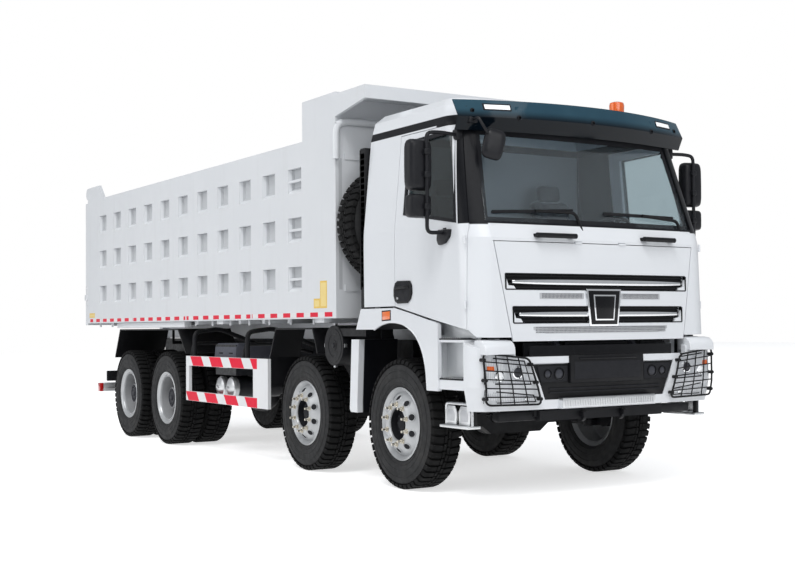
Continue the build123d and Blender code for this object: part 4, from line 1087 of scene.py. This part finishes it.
def patch(shape, corners, out, finish, count, deep=0.01):
    """A slab over a four-cornered area of the bumper's skin, from (x, z) corners in order."""
    a, b, c, d = [Vector(corner) for corner in corners]
    grid = []
    for v in spread(0, 1, count):
        for u in spread(0, 1, count):
            spot = a.lerp(b, u).lerp(d.lerp(c, u), v)
            grid.append((spot.x, bumper_skin(spot.x, spot.y), spot.y))
    n = count * count
    points = [(x, y - out, z) for x, y, z in grid] + [(x, y + deep, z) for x, y, z in grid]
    faces = []
    for i in range(count - 1):
        for j in range(count - 1):
            first = i * count + j
            quad = (first, first + 1, first + count + 1, first + count)
            faces += [quad, tuple(k + n for k in reversed(quad))]
    edge = list(range(count)) + [k * count + count - 1 for k in range(1, count)]
    edge += list(range(n - 2, n - count - 1, -1)) + [k * count for k in range(count - 2, 0, -1)]
    for k, first in enumerate(edge):
        second = edge[(k + 1) % len(edge)]
        faces.append((first, second, second + n, first + n))
    shape.add(points, faces, finish)


def lamp_guard(shape, a, b, c, d):
    """A wire guard over the lamps, from the (x, z) corners of its frame."""
    middle = (a + b + c + d) / 4

    def before_skin(spot, out):
        inside = spot.lerp(middle, 0.05)
        return spot.x, bumper_skin(inside.x, inside.y) - out, spot.y

    rim = []
    for before, corner, after in ((d, a, b), (a, b, c), (b, c, d), (c, d, a)):
        start = corner + (before - corner).normalized() * GUARD_BEND
        end = corner + (after - corner).normalized() * GUARD_BEND
        rim += [start.lerp(corner, part).lerp(corner.lerp(end, part), part) for part in spread(0, 1, 6)]
        rim += [end.lerp(after, part) for part in (0.2, 0.4, 0.6, 0.8)]
    shape.tube([before_skin(spot, GUARD_OUT) for spot in rim + rim[:2]], 0.0085, moulded_black, sides=8)
    for first, second in ((a, d), (b, c)):
        for part in (0.13, 0.52, 0.88):
            x, y, z = before_skin(first.lerp(second, part), GUARD_OUT)
            shape.tube([(x, y - 0.014, z), (x, y + 0.040, z)], 0.014, moulded_black, sides=10)
    wires = [(a.lerp(d, part), b.lerp(c, part), GUARD_OUT + 0.002) for part in (0.16, 0.33, 0.5, 0.67, 0.84)]
    wires += [(a.lerp(b, part), d.lerp(c, part), GUARD_OUT - 0.002) for part in (0.25, 0.5, 0.75)]
    for first, second, out in wires:
        line = [before_skin(first.lerp(second, part), out) for part in spread(0, 1, 9)]
        shape.tube(line, 0.0052, moulded_black, sides=8)
    for edge, inwards in (((a, b), -0.012), ((d, c), 0.012)):
        for part in (0.1, 0.9):
            x, z = edge[0].lerp(edge[1], part)
            skin = bumper_skin(x, z + inwards)
            shape.tube([(x, skin - GUARD_OUT, z), (x, skin + 0.01, z)], 0.006, moulded_black, sides=8)


lamps = Shape()
for side, _ in SIDES:
    for corners, out, finish, count in LAMP_PATCHES:
        patch(lamps, [(side * x, z) for x, z in corners], out, finish, count)
    for x, z, size, finish in BOWLS:
        spot = facing_front((side * x, bumper_skin(side * x, z) - 0.004, z))
        lamps.lathe([(size, -0.004), (size * 1.3, -0.004), (size * 1.26, 0.012), (size, 0.014)], chrome, spot,
                    24)
        lamps.lathe([(0, 0.016), (size * 0.5, 0.014), (size, 0.004), (size, -0.004), (0, -0.004)], finish,
                    spot, 24)
    lamp_guard(lamps, *[Vector((side * x, z)) for x, z in GUARD_CORNERS])
    lamps.prism(BUMPER_TOP, "x", side * 0.915, side * 1.195, paint_white, 0.006)
piece("headlamp_units_and_guards", lamps, "chassis", "lamp_glass")


# Cab flanks: side markers, arch lips, step wells with their treads, and hanging steps.
ARCH_LIP = ((0.300, 1.350), (0.200, 1.386), (0.060, 1.412), (-0.070, 1.411), (-0.200, 1.392), (-0.305, 1.352),
            (-0.395, 1.300), (-0.455, 1.240), (-0.503, 1.172), (-0.536, 1.095), (-0.560, 1.010),
            (-0.575, 0.858))
STEP_LOOP = ((-0.075, -0.073), (-0.082, 0.025), (-0.05, 0.073), (0.05, 0.073), (0.082, 0.025),
             (0.075, -0.073))
LOOP_Z = 0.675
STEP_TREADS = ((1.266, -1.04, -0.70), (0.95, -1.06, -0.72))
flank = Shape()
for side, _ in SIDES:
    flank.side = side
    flank.prism([(0.008, 1.436), (0.138, 1.430), (0.138, 1.500), (0.008, 1.505)], "x", 1.235, 1.2545,
                lamp_orange, 0.004)
    flank.prism([(-0.004, 1.426), (0.150, 1.420), (0.150, 1.510), (-0.004, 1.515)], "x", 1.235, 1.2525,
                seal_black, 0.003)
    flank.tube([(1.239, y, z + 0.004) for y, z in ARCH_LIP], 0.013, paint_white, 0.05)
    # The step well panels take the brightened paint, which is painted light in the shaded wells.
    flank.prism([(-1.105, 0.93), (-0.615, 0.93), (-0.605, 1.27), (-1.105, 1.30)], "x", 1.075, 1.09,
                niche_white_painted_light, 0.003)
    flank.block((1.085, 1.242), (-0.632, -0.618), (0.935, 1.30), niche_white_painted_light, 0.003)
    flank.prism([(-1.095, 1.275), (-0.56, 1.275), (-0.56, 1.428), (-0.70, 1.404), (-1.095, 1.336)], "x", 1.10,
                1.115, niche_white_painted_light, 0.003)
    for level, start, end in STEP_TREADS:
        flank.block((1.085, 1.235), (start, end), (level, level + 0.012), moulded_black, 0.003)
        tooth = Shape().block((-0.06, 0.06), (-0.006, 0.006), (-0.002, 0.007), step_aluminium)
        row = repeated(row_tree, tooth, Count=11, Offset=(0, 0.029, 0))
        flank.take(row, step_aluminium, Matrix.Translation((1.16, start + 0.025, level + 0.012)))
    flank.block((1.125, 1.245), (-1.16, -0.75), (0.577, 0.600), step_aluminium, 0.006)
    flank.tube([(1.185, -1.135, 0.60), (1.185, -1.135, 0.765), (1.185, -0.765, 0.765), (1.185, -0.765, 0.60)],
               0.012, bright_steel, 0.03)
    for y in (-1.045, -0.855):
        flank.prism([(y + a, LOOP_Z + b) for a, b in STEP_LOOP], "x", 1.192, 1.204, step_aluminium, 0.004)
        flank.prism([(y + a * 0.66, LOOP_Z + b * 0.62) for a, b in STEP_LOOP], "x", 1.2035, 1.2065,
                    perforated_grey, 0.001)
    for y in (-1.13, -0.83):
        flank.block((1.15, 1.18), about(y, 0.02), (0.59, 0.78), chassis_black, 0.004)
flank.prism([(-1.02, 0.96), (-1.00, 0.96), (-0.985, 1.30), (-1.005, 1.30)], "x", -1.07, 1.07, chassis_black,
            0.004)
piece("cab_steps_and_side_markers", flank, "chassis", "black_plastic")

# Right side, behind the cab: the snorkel's slats and the air cleaner's cap with its clips.
intake = Shape(-1)
slat = Shape().prism([(0.0, 0.0), (0.006, 0.004), (0.006, 0.05), (0.0, 0.046)], "y", -0.04, 0.04,
                     moulded_black)
slats = repeated(row_tree, slat, Count=22, Offset=(0, 0, 0.054))
intake.take(slats, moulded_black, Matrix.Translation((1.206, 0.54, 1.72)))
for y in (0.498, 0.582):
    intake.block((1.12, 1.216), about(y, 0.006), (1.70, 2.94), moulded_black, 0.003)
cap = facing_out((1.20, 1.13, 1.205))
intake.lathe([(0, 0.004), (0.05, 0.004), (0.055, -0.002), (0.10, -0.002), (0.105, 0.004), (0.15, 0.004),
              (0.158, -0.004), (0.182, -0.006), (0.186, -0.02), (0.186, -0.05), (0, -0.05)], moulded_black,
             cap, 48)
intake.lathe([(0, 0.016), (0.02, 0.014), (0.026, 0.004), (0.026, -0.01), (0, -0.01)], mirror_black, cap, 20)
clip = Shape().block((-0.012, 0.014), (-0.016, 0.016), (-0.02, 0.006), bright_steel)
ring_on(intake, cap, clip, bright_steel, 4, 0.188, -0.012)
piece("air_cleaner_cap_and_snorkel_slats", intake, "chassis", "black_plastic")

# Chassis flanks: air tank ends and box lid on the right, fuel tank straps and cap on the left, hoops, bolts.
gear = Shape(-1)
for y in (3.70, 3.99):
    face = facing_out((1.125, y, 0.725))
    gear.lathe([(0, 0.030), (0.04, 0.027), (0.08, 0.018), (0.108, 0.002), (0.114, -0.02), (0.114, -0.06),
                (0, -0.06)], tank_aluminium, face, 36)
    gear.lathe([(0, 0.045), (0.013, 0.045), (0.016, 0.028), (0.016, 0.0), (0, 0)], bright_steel, face, 12)
gear.prism([(1.146, 1.00), (1.132, 1.165), (1.10, 1.206), (0.62, 1.206), (0.62, 1.00)], "y", 3.53, 4.112,
           lid_grey, 0.006)
for y in (3.66, 3.93):
    gear.block((1.12, 1.1405), about(y, 0.05), (1.092, 1.106), seal_black, 0.001)
gear.tube([(1.12, 3.71, 0.965), (1.158, 3.71, 0.945), (1.158, 3.93, 0.945), (1.12, 3.93, 0.965)], 0.008,
          perforated_grey, 0.02)
gear.side = 1
for y in (3.0, 3.51, 4.02):
    near, far = about(y, 0.03)
    gear.loft([[(1.178, near, z), (1.178, far, z), (1.16033, far, z * 0.995 + 0.003),
                (1.16033, near, z * 0.995 + 0.003)] for z in (0.60, 1.09)], bright_steel)
    gear.block((0.45, 1.15), (near, far), (1.138, 1.148), bright_steel, 0.003)
gear.lathe([(0, 0.05), (0.05, 0.048), (0.062, 0.04), (0.062, 0.012), (0.07, 0.0), (0, 0)], moulded_black,
           Matrix.Translation((0.95, 2.86, 1.135)), 28)
for side, _ in SIDES:
    gear.side = side
    for y in (3.04, 4.51):
        gear.tube([(1.215, y, 1.03), (1.215, y, 1.33), (0.92, y, 1.365), (0.44, y, 1.18)], 0.026,
                  chassis_black, 0.07)
        gear.tube([(1.215, y + 0.10, 1.03), (1.19, y + 0.10, 1.20), (0.80, y + 0.09, 1.20),
                   (0.44, y + 0.06, 1.10)], 0.020, chassis_black, 0.06)
    for z in (0.88, 1.0):
        row = repeated(row_tree, bolt(0.011, 0.012, chassis_black), 0.8, Count=30, Offset=(0.21, 0, 0))
        gear.take(row, chassis_black, facing_out((0.431, 1.15, z)))
piece("tanks_hoops_and_frame_bolts", gear, "chassis", "chassis_black")

# Rear: lamps, light bar ends and a bare plate holder.
tail = Shape()
for side, _ in SIDES:
    tail.side = side
    tail.block((1.150, 1.200), (8.026, 8.114), (0.522, 0.638), lamp_red, 0.006)
    tail.block((0.30, 1.149), (8.026, 8.114), (0.522, 0.638), step_aluminium, 0.006)
    tail.block((0.62, 1.08), (8.075, 8.125), (0.66, 0.80), moulded_black, 0.01)
    for x, finish in ((0.705, lamp_clear), (0.825, lamp_orange), (0.965, lamp_red)):
        tail.block(about(x, 0.055), (8.11, 8.135), (0.685, 0.775), finish, 0.008)
    tail.block((0.80, 0.86), (7.98, 8.09), (0.60, 0.70), chassis_black, 0.006)
tail.block((-0.28, 0.28), (8.09, 8.108), (0.66, 0.80), moulded_black, 0.006)
tail.block((-0.255, 0.255), (8.105, 8.112), (0.675, 0.785), paint_white, 0.003)
piece("tail_lamps_and_plate_holder", tail, "chassis", "black_plastic")

# Bed: marking tape, blank labels, sloped pocket linings, ledge and small brackets.
TAPE_HEIGHT = (1.470, 1.512)
POCKET_ROWS = (1.720, 2.1935, 2.667)
POCKET_COLUMNS = 11
POCKET_PITCH = 0.587
POCKET_START = 1.645
marks = Shape()
for side, _ in SIDES:
    marks.side = side
    skin = side_skin(skin_of("bed_sides"), side)
    for start, end in ((1.02, 2.80), (2.84, 4.62), (4.66, 6.44), (6.48, 8.22)):
        face = skin((start + end) / 2, 1.492)
        marks.block((face - 0.004, face + 0.0012), (start, end), TAPE_HEIGHT, marking_tape)
    for y0, y1, z0, z1 in ((1.126, 1.262, 1.55, 1.802), (1.266, 1.392, 1.55, 1.640),
                           (8.02, 8.25, 1.53, 1.592)):
        face = skin((y0 + y1) / 2, (z0 + z1) / 2)
        marks.block((face - 0.004, face + 0.0012), (y0, y1), (z0, z1), yellow_label)
        marks.block((face - 0.004, face + 0.0016), (y0 + 0.014, y1 - 0.014), (z0 + 0.016, z1 - 0.016),
                    pale_label)
    for z in POCKET_ROWS:
        sill = Shape().prism([(1.2152, 0.0), (1.2685, 0.0), (1.2152, 0.055)], "y", 0.002, 0.288, bed_paint)
        cheek = Shape().prism([(1.2152, 0.288), (1.2685, 0.288), (1.2152, 0.258)], "z", 0.0, 0.233, bed_paint)
        for part in (sill, cheek):
            row = repeated(row_tree, part, Count=POCKET_COLUMNS, Offset=(0, POCKET_PITCH, 0))
            marks.take(row, bed_paint, Matrix.Translation((0, POCKET_START, z)))
    marks.block((1.16, 1.248), (4.75, 7.15), (1.385, 1.452), bed_paint, 0.008)
    for y in (1.31, 3.69):
        marks.block((1.16, 1.246), about(y, 0.07), (1.415, 1.456), bed_paint, 0.006)
    for y in spread(1.6, 8.1, 14):
        marks.block((1.155, 1.172), about(y, 0.02), (1.40, 1.456), bed_paint, 0.004)
piece("bed_marks_and_brackets", marks, "bed", "bed_white")

# The pipe along the headboard, with its brackets.
pipe = Shape()
pipe.tube([(-1.272, 0.93, 2.90), (-1.272, 0.93, 3.20), (-1.20, 0.915, 3.245), (0.9, 0.905, 3.245)], 0.033,
          bed_paint, 0.07, 14)
for x in (-0.9, 0.0, 0.8):
    pipe.block(about(x, 0.03), (0.895, 0.95), (3.222, 3.268), bed_paint, 0.006)
pipe.block((-1.285, -1.25), (0.92, 0.97), (2.92, 2.98), bed_paint, 0.006)
piece("headboard_pipe", pipe, "bed", "bed_white")

# Tailgate: latches, marking tape and rows of bolts.
gate = Shape()
for side, _ in SIDES:
    gate.side = side
    gate.block((1.225, 1.276), (8.345, 8.47), (1.77, 1.85), bed_paint, 0.01)
    gate.tube([(1.255, 8.40, 1.70), (1.255, 8.40, 1.98)], 0.018, bright_steel)
    gate.block((0.1, 1.18), (8.498, 8.503), TAPE_HEIGHT, marking_tape)
for x in (-0.62, 0.0, 0.62):
    row = repeated(row_tree, bolt(0.012, 0.010, bed_paint), Count=4, Offset=(0, 0.40, 0))
    gate.take(row, bed_paint, axes((1, 0, 0), (0, 0, 1), (0, 1, 0), (x, 8.50, 1.72)))
piece("gate_latches_and_tape", gate, "tailgate", "bed_white")


# Seats: stuffed cushions, swelled by cloth pressure and held to a small travel.
SEAT_X = 0.56
BACK_LEAN = Matrix.Rotation(-0.14, 4, "X")
CUSHION_GRID = 0.016
CUSHION_PRESSURE = 4.0
CUSHION_STEPS = 14
CUSHION_TRAVEL = 0.022
SEAM_PLACE = 0.62
SEAM_WIDTH = 0.012
SEAM_DEPTH = 0.55


def evaluated_mesh(made):
    """The mesh of an object with its modifiers applied, which are then removed."""
    mesh = bpy.data.meshes.new_from_object(made.evaluated_get(bpy.context.evaluated_depsgraph_get()))
    made.modifiers.clear()
    return mesh


def cushion(name, half, place, corner=0.05):
    """A crowned cushion from a rounded block, blown up a little by a cloth solve."""
    made = Shape().block(*[(-size, size) for size in half], seat_cloth, corner).to_object(name)
    remesh = made.modifiers.new("even", "REMESH")
    remesh.mode = "VOXEL"
    remesh.voxel_size = CUSHION_GRID
    made.data = evaluated_mesh(made)
    start = [vertex.co.copy() for vertex in made.data.vertices]
    cloth = made.modifiers.new("swell", "CLOTH")
    cloth.settings.use_pressure = True
    cloth.settings.uniform_pressure_force = CUSHION_PRESSURE
    cloth.settings.effector_weights.gravity = 0.0
    for step in range(1, CUSHION_STEPS + 1):
        bpy.context.scene.frame_set(step)
    swelled = evaluated_mesh(made)
    bpy.context.scene.frame_set(1)
    made.data = swelled
    for vertex, before in zip(swelled.vertices, start):
        move = vertex.co - before
        if move.length > CUSHION_TRAVEL:
            move *= CUSHION_TRAVEL / move.length
        seam = 1.0 - SEAM_DEPTH * math.exp(-((abs(before.x) - half[0] * SEAM_PLACE) / SEAM_WIDTH) ** 2)
        vertex.co = before + move * seam
    swelled.transform(Matrix.Translation((0, AXLE_1, 0)) @ place)
    swelled.materials.clear()
    swelled.materials.append(seat_cloth)
    swelled.shade_smooth()
    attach(made, "cab")
    return made


for side, hand in SIDES:
    middle = side * SEAT_X
    base = cushion(f"seat_base_{hand}", (0.235, 0.235, 0.065), Matrix.Translation((middle, -0.16, 1.985)))
    cushion(f"seat_back_{hand}", (0.225, 0.060, 0.27), Matrix.Translation((middle, 0.13, 2.27)) @ BACK_LEAN)
    cushion(f"head_rest_{hand}", (0.12, 0.045, 0.075), Matrix.Translation((middle, 0.175, 2.60)) @ BACK_LEAN,
            0.03)
    if hand == "right":
        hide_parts("seats")
    stand = Shape(side)
    stand.block((0.40, 0.72), (-0.34, 0.06), (1.601, 1.66), moulded_black, 0.01)
    stand.prism([(-0.28, 1.65), (0.02, 1.65), (-0.02, 1.93), (-0.24, 1.93)], "x", 0.44, 0.68, seal_black,
                0.01)
    stand.block((0.36, 0.76), (-0.36, 0.10), (1.90, 1.935), moulded_black, 0.01)
    for x in (0.51, 0.61):
        stand.tube([(x, 0.155, 2.48), (x, 0.172, 2.56)], 0.007, bright_steel, sides=8)
    piece(f"seat_stand_{hand}", stand, "cab", "dark_trim")


# Finishes of the CAD pieces that show.
FINISHES = {
    paint_white: ("front_flap", "front_bumper", "headlamps"),
    paint_pillars: ("cab_sides",),
    paint_roof: ("cab_roof",),
    paint_front: ("cab_front",),
    paint_back: ("cab_back",),
    paint_door: ("door_right", "door_left"),
    paint_arches: ("cab_arches",),
    guard_paint: ("side_guards",),
    bed_paint: ("bed_sides", "bed_floor", "headboard", "tailgate"),
    battery_mix: ("battery_rack",),
    visor_tint: ("roof_visor",),
    screen_glass: ("windscreen",),
    near_glass_shaded: ("door_glass_right",),
    far_glass_lit: ("door_glass_left",),
    moulded_black: ("fenders", "air_cleaner", "steering_wheel"),
    mirror_black: ("mirror_right", "mirror_left"),
    cabin_grey: ("cab_floor", "dashboard"),
    tank_aluminium: ("fuel_tank",),
    hoist_paint: ("hoist_barrel",),
    bright_steel: ("hoist_stage_1", "hoist_stage_2", "hoist_stage_3"),
}
finish_of = {name: finish for finish, names in FINISHES.items() for name in names}
for name, made in nodes.items():
    made.data.materials.clear()
    made.data.materials.append(finish_of.get(name, chassis_black))


# Camera, floor, light and white surround.
YAW, PITCH, ROLL = 0.5976, 0.0262, -0.0092
CAMERA_PLACE = (-6.6115, -12.8497, 1.3785)
FOCAL_LENGTH, SENSOR_WIDTH = 57.36, 36
SHIFT_X, SHIFT_Y = -0.1087, 0.0076
FLOOR_HALF = 60
FLOOR_DEPTH = (-0.30, -0.002)
FLOOR_GREY = (0.80, 0.80, 0.80, 1)
FLOOR_GLOW = 0.62
SKY_COLOUR = (0.93, 0.96, 1.0, 1)
SKY_STRENGTH = 0.50
WHITE_LIGHT = (1, 1, 1, 1)

scene = bpy.context.scene
ahead = Vector((math.sin(YAW) * math.cos(PITCH), math.cos(YAW) * math.cos(PITCH), math.sin(PITCH)))
across = Vector((math.cos(YAW), -math.sin(YAW), 0))
above = across.cross(ahead)
level = across * math.cos(ROLL) + above * math.sin(ROLL)
upright = above * math.cos(ROLL) - across * math.sin(ROLL)
view = bpy.data.cameras.new("camera")
view.sensor_fit = "HORIZONTAL"
view.sensor_width = SENSOR_WIDTH
view.lens = FOCAL_LENGTH
view.shift_x, view.shift_y = SHIFT_X, SHIFT_Y
view.clip_end = 200
camera = bpy.data.objects.new("camera", view)
camera.matrix_world = axes(level, upright, -ahead, CAMERA_PLACE)
scene.collection.objects.link(camera)
scene.camera = camera


def seen_directly(tree, *also):
    """One for rays that come straight from the camera, or by the other ways that are named."""
    path = tree.nodes.new("ShaderNodeLightPath")
    total = path.outputs["Is Camera Ray"]
    for name in also:
        either = tree.nodes.new("ShaderNodeMath")
        either.operation = "MAXIMUM"
        tree.links.new(total, either.inputs[0])
        tree.links.new(path.outputs[name], either.inputs[1])
        total = either.outputs[0]
    return total


def shader(tree, kind, colour, strength):
    """A node that shines with one colour."""
    made = tree.nodes.new(kind)
    made.inputs["Color"].default_value = colour
    made.inputs["Strength"].default_value = strength
    return made


def choose(tree, factor, first, second, end):
    """Leads the first or the second shader to the output, by a factor."""
    chosen = tree.nodes.new("ShaderNodeMixShader")
    for source, socket in zip((factor, first.outputs[0], second.outputs[0]), chosen.inputs):
        tree.links.new(source, socket)
    tree.links.new(chosen.outputs[0], tree.nodes[end].inputs["Surface"])


pale = bpy.data.materials.new("pale floor")
pale.use_nodes = True
tree = pale.node_tree
ground = tree.nodes["Principled BSDF"]
ground.inputs["Roughness"].default_value = 0.9
ground.inputs["Specular IOR Level"].default_value = 0.1
ground.inputs["Base Color"].default_value = FLOOR_GREY
lifted = tree.nodes.new("ShaderNodeAddShader")
tree.links.new(ground.outputs[0], lifted.inputs[0])
tree.links.new(shader(tree, "ShaderNodeEmission", WHITE_LIGHT, FLOOR_GLOW).outputs[0], lifted.inputs[1])
choose(tree, seen_directly(tree, "Is Glossy Ray", "Is Transmission Ray"), ground, lifted, "Material Output")
floor_width = (-FLOOR_HALF, FLOOR_HALF)
floor = Shape().block(floor_width, floor_width, FLOOR_DEPTH, pale).to_object("floor")

world = bpy.data.worlds.new("white surround")
scene.world = world
world.use_nodes = True
tree = world.node_tree
tree.nodes["Background"].inputs["Color"].default_value = SKY_COLOUR
tree.nodes["Background"].inputs["Strength"].default_value = SKY_STRENGTH
choose(tree, seen_directly(tree, "Is Transmission Ray"), tree.nodes["Background"],
       shader(tree, "ShaderNodeBackground", WHITE_LIGHT, 1.0), "World Output")


def lamp(name, kind, energy, spot, aim, size):
    """A sun, whose size is an angle, or a square panel, aimed at a spot."""
    data = bpy.data.lights.new(name, kind)
    data.energy = energy
    made = bpy.data.objects.new(name, data)
    if kind == "AREA":
        data.size = size
    else:
        data.angle = size
    made.location = spot
    made.rotation_euler = (Vector(aim) - Vector(spot)).to_track_quat("-Z", "Y").to_euler()
    scene.collection.objects.link(made)


lamp("soft sun", "SUN", 1.15, (-6, -5, 12), (0, 0, 1), 0.35)
lamp("front panel", "AREA", 290, (-1.6, -11.3, 7.0), (0, -4, 1.5), 6.0)
lamp("side panel", "AREA", 330, (-11.0, 1.0, 6.0), (0, 1, 1.5), 8.0)

scene.view_settings.view_transform = "Standard"
